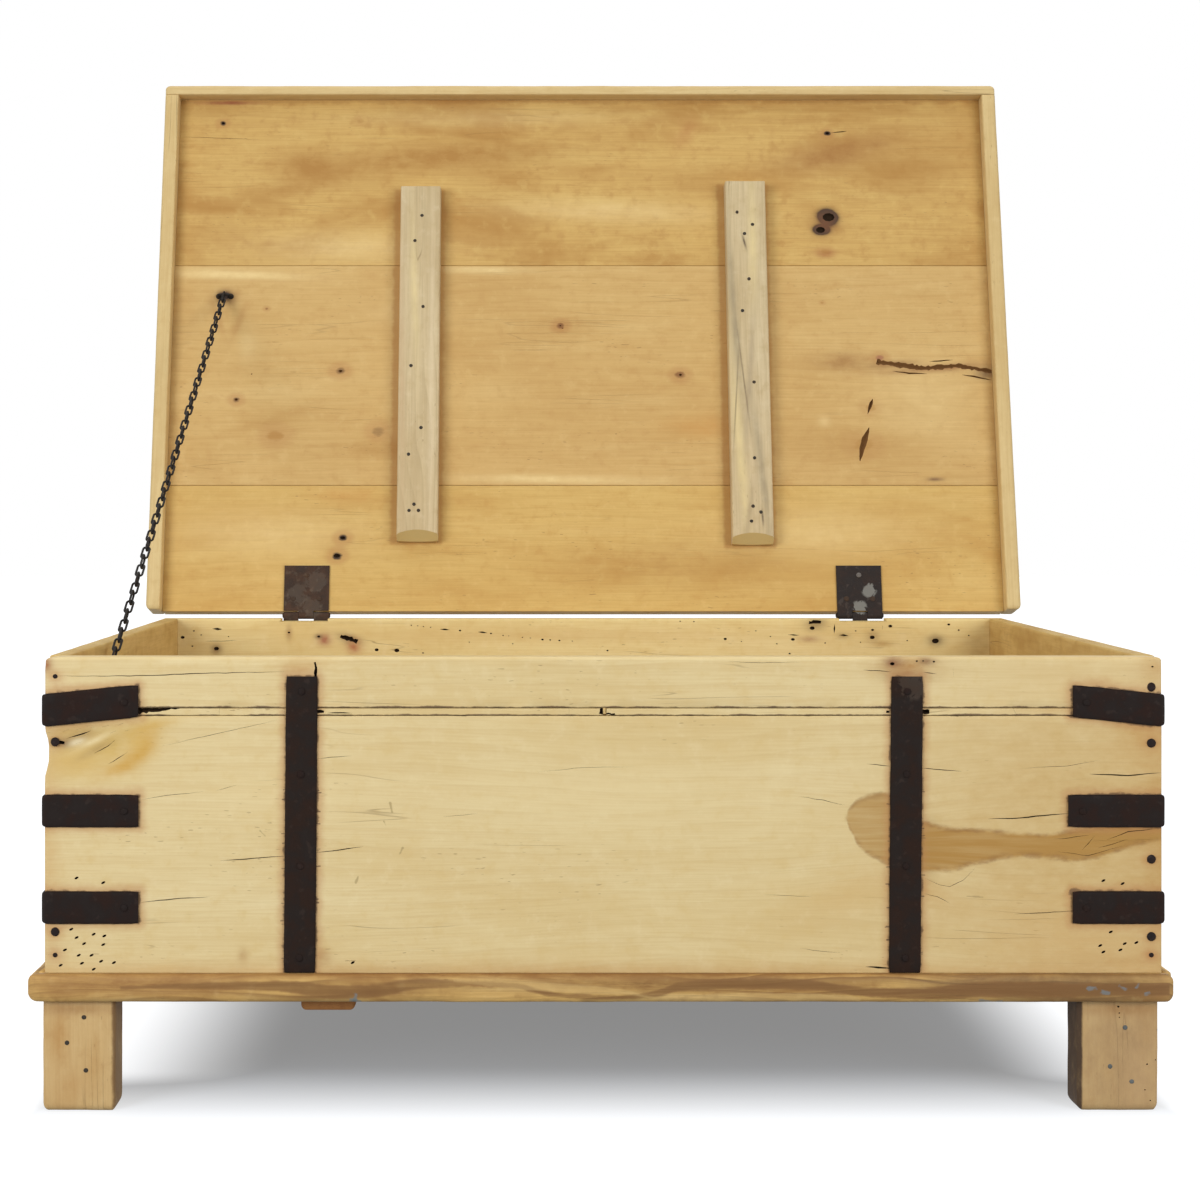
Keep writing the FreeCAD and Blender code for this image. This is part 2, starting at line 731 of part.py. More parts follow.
def print_joints():
    """Print the joints' places in metres, their turns from open to closed, and the ratios to the lid's turn."""
    rise = math.degrees(math.atan2(chain_line.z, chain_line.y))
    wall_bend = bar(cuts[0], -1)
    fold_end = bar(cuts[1], -1)
    lid_bend = bar(cuts[2] - 1, 1)
    wall_level = wall_pivot.z - wall_bend * flat_share
    lid_level = lid_pivot_closed.z - (chain_span - lid_bend) * flat_share
    spare = lid_level - wall_level - link_width - fold_stack_gap
    fold_length = (lid_bend - fold_end) * flat_share
    fall = math.degrees(math.asin(min(steepest_fold_share, spare / fold_length)))
    print("links", link_count, "pitch", link_pitch, "cuts", cuts)
    print("closed chain levels", wall_level, lid_level, "fall", fall)
    for name, place, turn in (
        ("lid_hinge", Vector(0, axis_y, axis_z), open_turn),
        ("chain_wall_swing", wall_pivot, -(90 + rise)),
        ("chain_wall_bend", wall_pivot + chain_along * wall_bend, 90),
        ("chain_lid_swing", lid_pivot, 90 - rise - open_turn),
        ("chain_lid_bend", wall_pivot + chain_along * lid_bend, 90 - fall),
    ):
        metres = [round(value / metre, 6) for value in (place.x, place.y - origin_y, place.z)]
        print(name, metres, "turn", round(turn, 3), "ratio", round(turn / open_turn, 6))
    print("origin_y", origin_y, "axis", axis_y, axis_z, "lid_top", lid_top)


walls()
floor()
base_trim()
legs()
corner_straps()
face_straps()
wall_nails()
lid_boards()
lid_edging()
lid_battens()
hinge("left", -1, (0, 2))
hinge("right", 1, (1,))
staples()
chain()
print_joints()

for name, solids in nodes.items():
    shape = solids[0] if len(solids) == 1 else Part.makeCompound(solids)
    shape.translate(Vector(0, -origin_y, 0))
    shape.exportStep("parts/%s.step" % name)
print(len(nodes), "nodes")
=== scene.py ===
from functools import lru_cache
from itertools import product
import json
import math
import random

import bmesh
import bpy
import numpy as np
from mathutils import Matrix, Vector, noise


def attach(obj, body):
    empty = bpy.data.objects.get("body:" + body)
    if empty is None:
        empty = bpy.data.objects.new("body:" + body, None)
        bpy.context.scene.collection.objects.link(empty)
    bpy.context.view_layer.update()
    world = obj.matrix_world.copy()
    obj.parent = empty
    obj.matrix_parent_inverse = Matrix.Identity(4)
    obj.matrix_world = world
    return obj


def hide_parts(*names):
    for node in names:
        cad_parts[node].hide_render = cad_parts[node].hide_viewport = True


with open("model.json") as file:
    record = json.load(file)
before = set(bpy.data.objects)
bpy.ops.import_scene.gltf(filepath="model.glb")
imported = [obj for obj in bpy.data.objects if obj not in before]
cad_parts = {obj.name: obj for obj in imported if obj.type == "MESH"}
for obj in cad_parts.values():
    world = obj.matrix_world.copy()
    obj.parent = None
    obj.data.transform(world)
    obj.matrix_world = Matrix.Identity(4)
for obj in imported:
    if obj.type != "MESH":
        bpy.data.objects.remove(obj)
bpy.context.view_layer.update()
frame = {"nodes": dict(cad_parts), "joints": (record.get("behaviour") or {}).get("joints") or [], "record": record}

# Lengths in metres. The camera was fitted to the photograph's 1200 x 1200 frame
MM = 0.001
PHOTO_SIDE = 1200
SENSOR = 36
FOCAL_PIXELS = 2175.0
PRINCIPAL_PIXEL = (522.87, 501.70)
CAMERA_X = -75.4 * MM
CAMERA_DISTANCE = 2039.7 * MM
CAMERA_HEIGHT = 571.5 * MM

# The hinge, and the frame of the closed lid
LID_HINGE = next(j for j in frame["joints"] if j["name"] == "lid_hinge")
HINGE_POINT = Vector(LID_HINGE["pos_m"])
OPEN_TURN = math.radians(max(LID_HINGE["range_deg"]))
TO_CLOSED = (
    Matrix.Translation(HINGE_POINT) @ Matrix.Rotation(OPEN_TURN, 4, "X") @ Matrix.Translation(-HINGE_POINT)
)
TO_OPEN = TO_CLOSED.inverted()
LID_NODES = frame["record"]["behaviour"]["bodies"]["lid"]
SLOT_OF = {part["node"]: part["material_slot"] for part in frame["record"]["subparts"]}
BODY_OF = {node: body for body, nodes in frame["record"]["behaviour"]["bodies"].items() for node in nodes}


def span_of(points, axis):
    values = [p[axis] for p in points]
    return min(values), max(values)


def box_of(points):
    """The lowest and the highest corner round some points."""
    return [Vector(ends) for ends in zip(*[span_of(points, axis) for axis in range(3)])]


def points_of(node):
    return [v.co for v in frame["nodes"][node].data.vertices]


@lru_cache(maxsize=None)
def own_box(node):
    """A node's lowest and highest corner; for a lid node, with the lid closed."""
    turn = TO_CLOSED if node in LID_NODES else Matrix.Identity(4)
    return box_of([turn @ point for point in points_of(node)])


def islands(node):
    """The separate solids of a node, each as a list of points."""
    mesh = bmesh.new()
    mesh.from_mesh(frame["nodes"][node].data)
    bmesh.ops.remove_doubles(mesh, verts=mesh.verts, dist=0.01 * MM)
    seen = set()
    groups = []
    for first in mesh.verts:
        if first in seen:
            continue
        seen.add(first)
        stack, group = [first], []
        while stack:
            v = stack.pop()
            group.append(v.co.copy())
            others = [edge.other_vert(v) for edge in v.link_edges]
            stack += [other for other in others if other not in seen]
            seen.update(others)
        groups.append(group)
    mesh.free()
    return sorted(groups, key=lambda g: tuple(round(sum(p[i] for p in g) / len(g), 4) for i in (0, 2, 1)))


FRONT_Y = own_box("front_board")[0].y
REAR_INNER_Y = own_box("rear_top_board")[0].y
LID_REAR_Y = own_box("lid_board_rear")[1].y
LID_UNDER = own_box("lid_board_rear")[0].z
RIM = own_box("front_top_rail")[1].z


class Value:
    """A number or colour in a shader, with plain arithmetic."""

    def __init__(self, nodes, socket):
        self.nodes, self.socket = nodes, socket

    def __add__(self, other):
        return self.nodes.math("ADD", self, other)

    def __sub__(self, other):
        return self.nodes.math("SUBTRACT", self, other)

    def __mul__(self, other):
        return self.nodes.math("MULTIPLY", self, other)

    def __truediv__(self, other):
        return self.nodes.math("DIVIDE", self, other)

    def __abs__(self):
        return self.nodes.math("ABSOLUTE", self)

    def at_least(self, other):
        return self.nodes.math("MAXIMUM", self, other)

    def at_most(self, other):
        return self.nodes.math("MINIMUM", self, other)

    def bell(self):
        """One where the value is zero, falling away as it grows."""
        return self.nodes.math("EXPONENT", self * -1.0)


def linear(share):
    """The light of a display colour's part."""
    return share / 12.92 if share <= 0.04045 else ((share + 0.055) / 1.055) ** 2.4


class Nodes:
    """Short calls for the nodes of one tree. Colours are display colours of 0 to 255."""

    def __init__(self, tree):
        self.tree = tree

    def put(self, socket, value):
        if isinstance(value, Value):
            self.tree.links.new(value.socket, socket)
        elif socket.type == "RGBA":
            socket.default_value = (*[linear(part / 255) for part in value], 1)
        else:
            socket.default_value = value

    def node(self, kind, *values, **settings):
        """A new node with its settings, and the values of its first inputs."""
        node = self.tree.nodes.new("ShaderNode" + kind)
        for name, setting in settings.items():
            setattr(node, name, setting)
        for socket, value in zip(node.inputs, values):
            self.put(socket, value)
        return node

    def named(self, node, **values):
        """Values for a node's inputs by their names, where _ stands for a space."""
        for name, value in values.items():
            self.put(node.inputs[name.replace("_", " ")], value)
        return node

    def out(self, node, socket=0):
        return Value(self, node.outputs[socket])

    def use(self, group, *values):
        return self.out(self.node("Group", *values, node_tree=group))

    def math(self, operation, *values):
        return self.out(self.node("Math", *values, operation=operation))

    def span(self, value, low, high, to_low=0.0, to_high=1.0, kind="SMOOTHSTEP"):
        """A value taken from one range to another, held at both ends."""
        return self.out(self.node("MapRange", value, low, high, to_low, to_high, interpolation_type=kind))

    def curve(self, value, points):
        """A smooth function through points of place and level."""
        low, high = points[0][0], points[-1][0]
        bottom, top = span_of(points, 1)
        node = self.node("FloatCurve")
        knots = node.mapping.curves[0].points
        for place, level in points[1:-1]:
            knots.new((place - low) / (high - low), (level - bottom) / (top - bottom))
        knots[0].location = (0, (points[0][1] - bottom) / (top - bottom))
        knots[len(knots) - 1].location = (1, (points[-1][1] - bottom) / (top - bottom))
        node.mapping.update()
        self.named(node, Value=self.span(value, low, high, kind="LINEAR"))
        return self.out(node) * (top - bottom) + bottom

    def mix(self, share, first, second):
        node = self.node("Mix", share, data_type="RGBA", clamp_factor=True)
        self.put(node.inputs[6], first)
        self.put(node.inputs[7], second)
        return self.out(node, 2)

    def join(self, x, y, z):
        return self.out(self.node("CombineXYZ", x, y, z))

    def split(self, place):
        node = self.node("SeparateXYZ", place)
        return [self.out(node, i) for i in range(3)]

    def noise(self, place, scale, detail=2.0, roughness=0.5, warp=0.0):
        node = self.node("TexNoise")
        self.named(node, Vector=place, Scale=scale, Detail=detail, Roughness=roughness, Distortion=warp)
        return self.out(node, "Fac")


class Shader(Nodes):
    """One material."""

    def __init__(self, name):
        self.material = bpy.data.materials.new(name)
        self.material.use_nodes = True
        super().__init__(self.material.node_tree)
        self.tree.nodes.clear()
        self.surface = self.node("BsdfPrincipled")
        self.node("OutputMaterial", self.out(self.surface))
        self.place = self.out(self.node("TexCoord"), "Object")

    def finish(self, colour, roughness, shine, relief=None, distance=0.0, strength=0.0):
        self.named(self.surface, Base_Color=colour, Roughness=roughness, Specular_IOR_Level=shine)
        if relief:
            bump = self.named(self.node("Bump"), Height=relief, Distance=distance, Strength=strength)
            self.named(self.surface, Normal=self.out(bump))
        return self.material


def group(name, numbers, build):
    """A mark that is laid over a colour: it takes the colour below, its own colour and some numbers."""
    tree = bpy.data.node_groups.new(name, "ShaderNodeTree")
    for label in ("Below", "Colour"):
        tree.interface.new_socket(label, in_out="INPUT", socket_type="NodeSocketColor")
    for label in ("U", "V", "Ragged", "Middle U", "Middle V", *numbers):
        tree.interface.new_socket(label, in_out="INPUT", socket_type="NodeSocketFloat")
    tree.interface.new_socket("Result", in_out="OUTPUT", socket_type="NodeSocketColor")
    n = Nodes(tree)
    given = [Value(n, socket) for socket in tree.nodes.new("NodeGroupInput").outputs[:-1]]
    below, colour, u, v, ragged, middle_u, middle_v, *rest = given
    result = build(n, below, colour, u - middle_u, v - middle_v, ragged, *rest)
    tree.links.new(result.socket, tree.nodes.new("NodeGroupOutput").inputs[0])
    return tree


def build_cloud(n, below, colour, u, v, ragged, along_u, along_v, aside_u, aside_v, strength):
    along, aside = u * along_u + v * along_v, u * aside_u + v * aside_v
    bell = (along * along + aside * aside + ragged * 1.6).bell()
    return n.mix((bell * strength).at_most(0.95), below, colour)


def build_patch(n, below, colour, u, v, ragged, run_u, run_v, length, half, soft, rough, strength):
    over = (abs(u * run_u + v * run_v) - length).at_least(0.0)
    out = (abs(v * run_u - u * run_v) - half).at_least(0.0)
    gap = n.math("SQRT", over * over + out * out) + ragged * rough
    return n.mix(n.span(gap, 0.0, soft, 1.0, 0.0) * strength, below, colour)


def build_knot(n, below, colour, u, v, ragged, radius, strength):
    u, v = u / (radius * 1.35), v / radius
    edge = u * u + v * v + ragged * 2.6
    halo = n.mix(n.span(edge, 0.3, 9.0, 0.42, 0.0) * strength, below, KNOT_HALO)
    return n.mix(n.span(edge, 0.1, 1.2, 0.95, 0.0) * strength, halo, colour)


KNOT_HALO = (172, 118, 66)
CLOUD = group("cloud", ("Along U", "Along V", "Aside U", "Aside V", "Strength"), build_cloud)
PATCH = group("patch", ("Run U", "Run V", "Length", "Half", "Soft", "Rough", "Strength"), build_patch)
KNOT = group("knot", ("Radius", "Strength"), build_knot)
# Which of a place's x, y and z run along a board's grain, across it and through the board
AXES = {"upright": (0, 2, 1), "flat": (0, 1, 2), "deep": (1, 2, 0), "deep_flat": (1, 0, 2), "post": (2, 0, 1)}
STAIN_DEPTH = (4 * MM, 8 * MM)


class Wood(Shader):
    """Sawn wood. Its places are metres along the grain (u), across it (v) and through the board (w).

    Its marks are given in millimetres.
    """

    def __init__(self, name, along, closed, seed, side):
        super().__init__(name)
        place = self.place
        if closed:
            turn = self.node("VectorRotate", rotation_type="X_AXIS")
            place = self.out(self.named(turn, Vector=place, Center=HINGE_POINT, Angle=OPEN_TURN))
        places = self.split(place)
        self.u, self.v, self.w = [places[i] for i in AXES[along]]
        self.level = self.v
        self.seed = seed
        self.shown = None
        if side is not None:
            self.shown = self.span(self.w, side + STAIN_DEPTH[0], side + STAIN_DEPTH[1], 1.0, 0.0)

    def field(self, scale_u, scale_v, offset, detail=2.0, roughness=0.55, warp=0.0):
        """Noise that is drawn out along the grain."""
        place = self.join(self.u * scale_u, self.level * scale_v, self.w * scale_v + (self.seed + offset))
        return self.noise(place, 1.0, detail, roughness, warp)

    def swirl(self, centre_u, centre_v, reach_u, reach_v, push):
        """Bend the grain round a place."""
        du = (self.u - centre_u * MM) * (1 / (reach_u * MM))
        dv = (self.v - centre_v * MM) * (1 / (reach_v * MM))
        self.level = self.level + (du * du + dv * dv).bell() * dv * (push * MM)

    def tint(self, share, colour):
        self.colour = self.mix(share, self.colour, colour)

    def held(self, strength):
        """A mark's strength, held to the side of the board that carries the marks."""
        return self.shown * strength if self.shown else strength

    def grain(
        self, base, ring, cloud, pale, pitch=14, ring_share=0.3, cloud_share=0.5, pale_share=0.4,
        cloud_scale=3.2, hair_share=0.45,
    ):
        """Rings, clouds, pale streaks, fibres, flecks and hair cracks."""
        level = self.level + self.w * 0.6 + self.field(1.6, 9.0, 0.0, 3.0) * 0.085
        saw = self.math("FRACT", level * (1 / (pitch * MM)))
        soft_ring = self.math("POWER", saw, 2.2) * self.span(saw, 0.9, 1.0, 1.0, 0.0)
        spread = self.span(self.field(3.0, 14.0, 6.0, 2.0), 0.35, 0.65, 0.3, 1.0)
        self.colour = self.mix(soft_ring * spread * ring_share, base, ring)
        wide = self.field(cloud_scale, cloud_scale * 2.6, 1.7, 3.0, 0.6, 0.5)
        self.tint(self.span(wide, 0.42, 0.72, 0.0, cloud_share), cloud)
        streak = self.field(cloud_scale * 0.8, cloud_scale * 6.0, 3.3, 2.0)
        self.tint(self.span(streak, 0.5, 0.8, 0.0, pale_share), pale)
        fibre = self.field(14.0, 520.0, 0.0, 2.0, 0.6)
        self.tint(self.span(fibre, 0.35, 0.75, 0.0, 0.26), ring)
        fine = self.field(34.0, 110.0, 4.1, 3.0, 0.65)
        self.tint(self.span(fine, 0.52, 0.8, 0.0, 0.4), cloud)
        mottle = self.noise(self.join(self.u, self.v, self.w + self.seed), 62.0, 3.0, 0.6)
        self.tint(self.span(mottle, 0.5, 0.78, 0.0, 0.45), cloud)
        self.tint(self.span(mottle, 0.26, 0.46, 0.24, 0.0), pale)
        flecks = self.span(self.field(110.0, 520.0, 0.7, 1.0), 0.7, 0.76)
        flecks = flecks * self.span(self.field(7.0, 16.0, 2.3, 1.0), 0.52, 0.66)
        self.tint(flecks * 0.45, (128, 98, 58))
        hair = self.span(abs(self.field(3.2, 75.0, 5.2, 1.0) + -0.5), 0.0, 0.01, 1.0, 0.0)
        hair = hair * self.span(self.field(5.5, 20.0, 3.1, 2.0), 0.58, 0.66)
        self.tint(hair * hair_share, (120, 96, 60))
        self.relief = fibre * 0.35 + soft_ring * -0.25 + hair * -1.2 + flecks * -0.8 + fine * 0.5
        self.wide = wide
        self.uneven = self.ragged(8.5)

    def ragged(self, offset):
        """Fine noise about nothing, for the edges of marks."""
        return self.field(45.0, 80.0, offset, 4.0, 0.65) + -0.5

    def lay(self, mark, colour, centre_u, centre_v, *rest):
        place = (self.u, self.v, self.uneven, centre_u * MM, centre_v * MM)
        self.colour = self.use(mark, self.colour, colour, *place, *rest)

    def knot(self, centre_u, centre_v, radius, strength, heart):
        self.lay(KNOT, heart, centre_u, centre_v, radius * MM, strength)

    def ribbon(self, points, strengths, colour, soft):
        """A stain that runs along the grain; its points are u, v and half its height."""
        soft = soft * MM
        middle = self.curve(self.u, [(u * MM, v * MM) for u, v, half in points])
        half = self.curve(self.u, [(u * MM, half * MM) for u, v, half in points])
        gap = abs(self.v - middle) - half + self.ragged(7.0) * (soft * 2.6)
        first, last = points[0][0] * MM, points[-1][0] * MM
        ends = self.span(self.u, first - soft, first + soft)
        ends = ends * self.span(self.u, last - soft, last + soft, 1.0, 0.0)
        level = self.held(self.curve(self.u, [(u * MM, strength) for u, strength in strengths]))
        streaks = self.span(self.field(9.0, 150.0, 12.0, 3.0, 0.6), 0.3, 0.7, 0.78, 1.1)
        self.tint(self.span(gap, -soft, soft, 1.0, 0.0) * ends * level * streaks, colour)
        rim = self.span(gap, -soft * 2.5, -soft * 0.2) * self.span(gap, 0.0, soft * 1.2, 1.0, 0.0) * ends
        self.tint(rim * level * self.span(self.ragged(13.0), -0.1, 0.15) * 0.6, (134, 96, 54))

    def patch(self, start, end, half, soft, colour, strength, ragged=1.0):
        """A straight bar of colour from one place to another, soft and ragged round its edge."""
        (u0, v0), (u1, v1) = start, end
        length = math.dist(start, end)
        self.lay(
            PATCH, colour, (u0 + u1) / 2, (v0 + v1) / 2, (u1 - u0) / length, (v1 - v0) / length,
            length / 2 * MM, half * MM, soft * MM, soft * MM * 2 * ragged, self.held(strength),
        )

    def cloud(self, centre_u, centre_v, reach_u, reach_v, colour, strength, turn=0.0):
        """A soft uneven oval of colour."""
        cos, sin = math.cos(math.radians(turn)), math.sin(math.radians(turn))
        reach_u, reach_v = reach_u * MM, reach_v * MM
        turned = (cos / reach_u, sin / reach_u, -sin / reach_v, cos / reach_v)
        self.lay(CLOUD, colour, centre_u, centre_v, *turned, self.held(strength))


def look(*colours, **settings):
    """A wood's ground, ring, cloud and pale colours, and what it changes of the usual grain."""
    return colours, settings


def wood(
    name, look, along="upright", closed=False, seed=0.0, swirls=(), knots=(), ribbons=(), clouds=(),
    patches=(), rough=(0.55, 0.72), side=None,
):
    """A board's material: its grain, and then its marks from the widest to the smallest.

    side is the depth of the face that carries the stains and painted shade, where the other face has none.
    """
    board = Wood(name, along, closed, seed, side)
    for swirl in swirls:
        board.swirl(*swirl)
    for u, v, radius in [knot[:3] for knot in knots]:
        board.swirl(u, v, radius * 2.6, radius * 2.0, radius * 0.9)
    colours, settings = look
    board.grain(*colours, **settings)
    for marks, lay in (
        (clouds, board.cloud), (ribbons, board.ribbon), (patches, board.patch), (knots, board.knot),
    ):
        for mark in marks:
            lay(*mark)
    roughness = board.span(board.wide, 0.2, 0.8, *rough)
    return board.finish(board.colour, roughness, 0.35, board.relief, 0.4 * MM, 0.6)


def iron(name, deep, worn, rust, rough=(0.62, 0.85), paint=None, shine=0.12):
    """Forged iron: mottled dark, browner where it has rusted, brighter where it has rubbed."""
    s = Shader(name)
    cloud = s.noise(s.place, 55.0, 4.0, 0.6)
    grain = s.noise(s.place, 900.0, 2.0, 0.6)
    dents = s.noise(s.place, 140.0, 2.0, 0.5)
    colour = s.mix(s.span(cloud, 0.4, 0.7), deep, rust)
    colour = s.mix(s.span(dents, 0.58, 0.74, 0.0, 0.45), colour, worn)
    colour = s.mix(s.span(grain, 0.55, 0.8, 0.0, 0.3), colour, worn)
    if paint:
        shade, threshold, share, centres, reach = paint
        flakes = s.noise(s.place, 95.0, 5.0, 0.68, 0.4)
        x, z = s.split(s.place)[::2]
        for centre_x, centre_z in centres:
            dx, dz = (x - centre_x) * (1 / reach), (z - centre_z) * (1 / reach)
            bell = (dx * dx + dz * dz).bell()
            level = bell * 0.3 + flakes + -0.3
            cover = s.span(level, threshold - 0.3, threshold - 0.25) * s.span(bell, 0.2, 0.5, 0.0, share)
            colour = s.mix(cover, colour, shade)
    return s.finish(colour, s.span(cloud, 0.3, 0.7, *rough), shine, dents + grain * 0.25, 0.5 * MM, 0.5)


def plain(name, colour, rough=0.9):
    return Shader(name).finish(colour, rough, 0.1)


def dress(piece, node, *materials):
    """Give a piece its materials, set it under its body, and hide the CAD node that it stands for."""
    if not piece.data.materials:
        for material in materials:
            piece.data.materials.append(material)
    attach(piece, BODY_OF[node])
    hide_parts(node)


def keep(node, material):
    """Leave a CAD node's shape as it is, under a better material."""
    data = frame["nodes"][node].data
    data.materials.clear()
    data.materials.append(material)


def finished(name, mesh, sharp=None):
    """A bmesh as an object with soft shading, up to an angle where one is given."""
    bmesh.ops.recalc_face_normals(mesh, faces=mesh.faces)
    data = bpy.data.meshes.new(name)
    mesh.to_mesh(data)
    mesh.free()
    data.shade_smooth()
    if sharp:
        data.set_sharp_from_angle(angle=math.radians(sharp))
    piece = bpy.data.objects.new(name, data)
    bpy.context.scene.collection.objects.link(piece)
    return piece


# How far a cutter stands out of the wood, and how deep it makes a hole
CUT_LIFT = 0.6 * MM
PIT_DEPTH = 3.2 * MM
# The angle in degrees from which an edge is shown sharp, in cut wood and in forged iron
CUT_EDGE, FORGED_EDGE = 35, 50
# Where rows of points run over a rounded edge, as shares of its radius
EDGE_ROWS = (0.42, 0.73)
# The steps of a crack's line and how far they stray, for a wide ragged gap and for a fine crack
RAGGED_LINE, FINE_LINE = (3, 0.7), (7, 0.3)


def turns(count, start=0.0):
    """Angles evenly round a circle."""
    return [start + math.tau * k / count for k in range(count)]


def stations(length, first, last, step):
    """Places along one side of a block: close together over the rounded edges, then every step."""
    flat = length - first - last
    count = max(1, math.ceil(flat / step))
    inner = [first + flat * i / count for i in range(count + 1)]
    start = [first * share for share in EDGE_ROWS]
    end = [length - last * share for share in reversed(EDGE_ROWS)]
    return [0.0] + start + inner + end + [length]


def rounded(point, size, rounds):
    """A point of a block's surface, drawn in to edges with a radius of their own at each of its six sides."""
    parts = []
    for place, end, (first, last) in zip(point, size, rounds):
        edge, radius = (first, first) if place < first else (min(place, end - last), last)
        parts.append((edge, radius, (place - edge) / radius))
    steps = [abs(step) for edge, radius, step in parts]
    pull = max(steps) / math.hypot(*steps) if any(steps) else 0.0
    return Vector([edge + step * pull * radius for edge, radius, step in parts])


def add_block(mesh, low, high, rounds, step, wear=0.3, shape=None, seed=0.0):
    """A closed block with soft, unevenly worn edges, and nothing outside its box.

    rounds holds the edge radius at both ends of X, Y and Z, in millimetres like the step between its rows of
    points, and wear the share by which they swing. shape, if given, moves each finished point.
    """
    size = high - low
    rounds = [[min(radius * MM, size[i] * 0.45) for radius in pair] for i, pair in enumerate(rounds)]
    places = [stations(size[i], *rounds[i], step * MM) for i in range(3)]

    @lru_cache(maxsize=None)
    def vertex(*key):
        raw = Vector([places[i][k] for i, k in enumerate(key)])
        spot = raw + low + Vector((seed, 0, 0))
        swing = 1 + wear * (noise.noise(spot * 22.0) + 0.5 * noise.noise(spot * 75.0))
        point = rounded(raw, size, [(a * swing, b * swing) for a, b in rounds]) + low
        return mesh.verts.new(shape(point) if shape else point)

    for axis in range(3):
        a, b = [i for i in range(3) if i != axis]
        for end in (0, len(places[axis]) - 1):
            for i, j in product(range(len(places[a]) - 1), range(len(places[b]) - 1)):
                corners = []
                for da, db in ((0, 0), (1, 0), (1, 1), (0, 1)):
                    key = [end] * 3
                    key[a], key[b] = i + da, j + db
                    corners.append(vertex(*key))
                mesh.faces.new(corners)


def uneven(points, step, stray, draw):
    """A ragged line through a few points."""
    line = [points[0]]
    for a, b in zip(points[:-1], points[1:]):
        count = max(1, round((b - a).length / step))
        for i in range(1, count + 1):
            spot = a.lerp(b, i / count)
            if i < count:
                spot = spot + Vector([draw.uniform(-1, 1) for axis in range(3)]) * stray
            line.append(spot)
    return line


def tube(mesh, rings, closed=False):
    """Faces along rings of the same count of points, closed into one ring or capped at both ends."""
    count = len(rings)
    sides = len(rings[0])
    faces = []
    for i in range(count if closed else count - 1):
        here, there = rings[i], rings[(i + 1) % count]
        for k in range(sides):
            n = (k + 1) % sides
            faces.append(mesh.faces.new((here[k], here[n], there[n], there[k])))
    if not closed:
        faces.append(mesh.faces.new(rings[0]))
        faces.append(mesh.faces.new(list(reversed(rings[-1]))))
    return faces


def add_crack(cutter, points, width, depth, normal, draw):
    """A wedge that follows a ragged line, with its width and depth in millimetres.

    A single width tapers to nothing at both ends; a pair is the width at the start and at the end.
    """
    pair = isinstance(width, tuple)
    first, last = width if pair else (width, width)
    step, stray = RAGGED_LINE if pair else FINE_LINE
    depth = depth * MM
    line = uneven(points, step * MM, stray * MM, draw)
    rings = []
    for i, spot in enumerate(line):
        ahead = (line[min(i + 1, len(line) - 1)] - line[max(i - 1, 0)]).normalized()
        side = normal.cross(ahead).normalized()
        share = i / (len(line) - 1)
        if pair:
            swell = draw.uniform(0.6, 1.1)
        else:
            swell = max(0.12, math.sin(math.pi * share) ** 0.6 * draw.uniform(0.75, 1.0))
        half = (first + (last - first) * share) * MM * swell / 2 * (1 + CUT_LIFT / depth)
        flat = spot - normal * (spot - points[0]).dot(normal)
        rings.append([cutter.verts.new(p) for p in (
            flat + side * half + normal * CUT_LIFT, flat - side * half + normal * CUT_LIFT,
            flat - normal * depth * max(0.4, swell),
        )])
    tube(cutter, rings)


def add_pit(cutter, centre, across, up, radius, flatness, lean):
    """An oval hole that leans as it goes in."""
    rings = []
    for level, size, shift in ((CUT_LIFT, 1.0, 0.0), (0.0, 1.0, 0.0), (-PIT_DEPTH, 0.65, lean)):
        middle = centre + across.cross(up) * level + across * shift
        wide, high = radius * size, radius * size * flatness
        rings.append([
            cutter.verts.new(middle + across * (wide * math.cos(angle)) + up * (high * math.sin(angle)))
            for angle in turns(9)
        ])
    tube(cutter, rings)


def add_seat(cutter, low, high):
    """A plain box to cut with."""
    corners = ((low.y, low.z), (high.y, low.z), (high.y, high.z), (low.y, high.z))
    tube(cutter, [[cutter.verts.new((x, y, z)) for y, z in corners] for x in (low.x, high.x)])


def carve(piece, cutter, inside):
    """Cut a bmesh out of a piece; the cut faces take the material of the inside."""
    bmesh.ops.recalc_face_normals(cutter, faces=cutter.faces)
    data = bpy.data.meshes.new("cutter")
    cutter.to_mesh(data)
    cutter.free()
    data.materials.append(inside)
    tool = bpy.data.objects.new("cutter", data)
    bpy.context.scene.collection.objects.link(tool)
    cut = piece.modifiers.new("cut", "BOOLEAN")
    cut.operation = "DIFFERENCE"
    cut.solver = "EXACT"
    cut.material_mode = "TRANSFER"
    cut.object = tool
    graph = bpy.context.evaluated_depsgraph_get()
    carved = bpy.data.meshes.new_from_object(piece.evaluated_get(graph))
    piece.modifiers.clear()
    old = piece.data
    assert len(carved.polygons) > 0.9 * len(old.polygons), "the cut took too much of " + piece.name
    piece.data = carved
    bpy.data.meshes.remove(old)
    bpy.data.objects.remove(tool)
    bpy.data.meshes.remove(data)
    carved.set_sharp_from_angle(angle=math.radians(CUT_EDGE))


class Face:
    """The plane that a board's marks are cut in, with places given in millimetres."""

    def __init__(self, origin, across, up):
        self.origin, self.across, self.up = Vector(origin), Vector(across), Vector(up)
        self.normal = self.across.cross(self.up)

    def at(self, u, v):
        return self.origin + self.across * (u * MM) + self.up * (v * MM)

    def turned(self, degrees):
        """The two directions of the face, turned in it."""
        turn = Matrix.Rotation(math.radians(degrees), 3, self.normal)
        return turn @ self.across, turn @ self.up


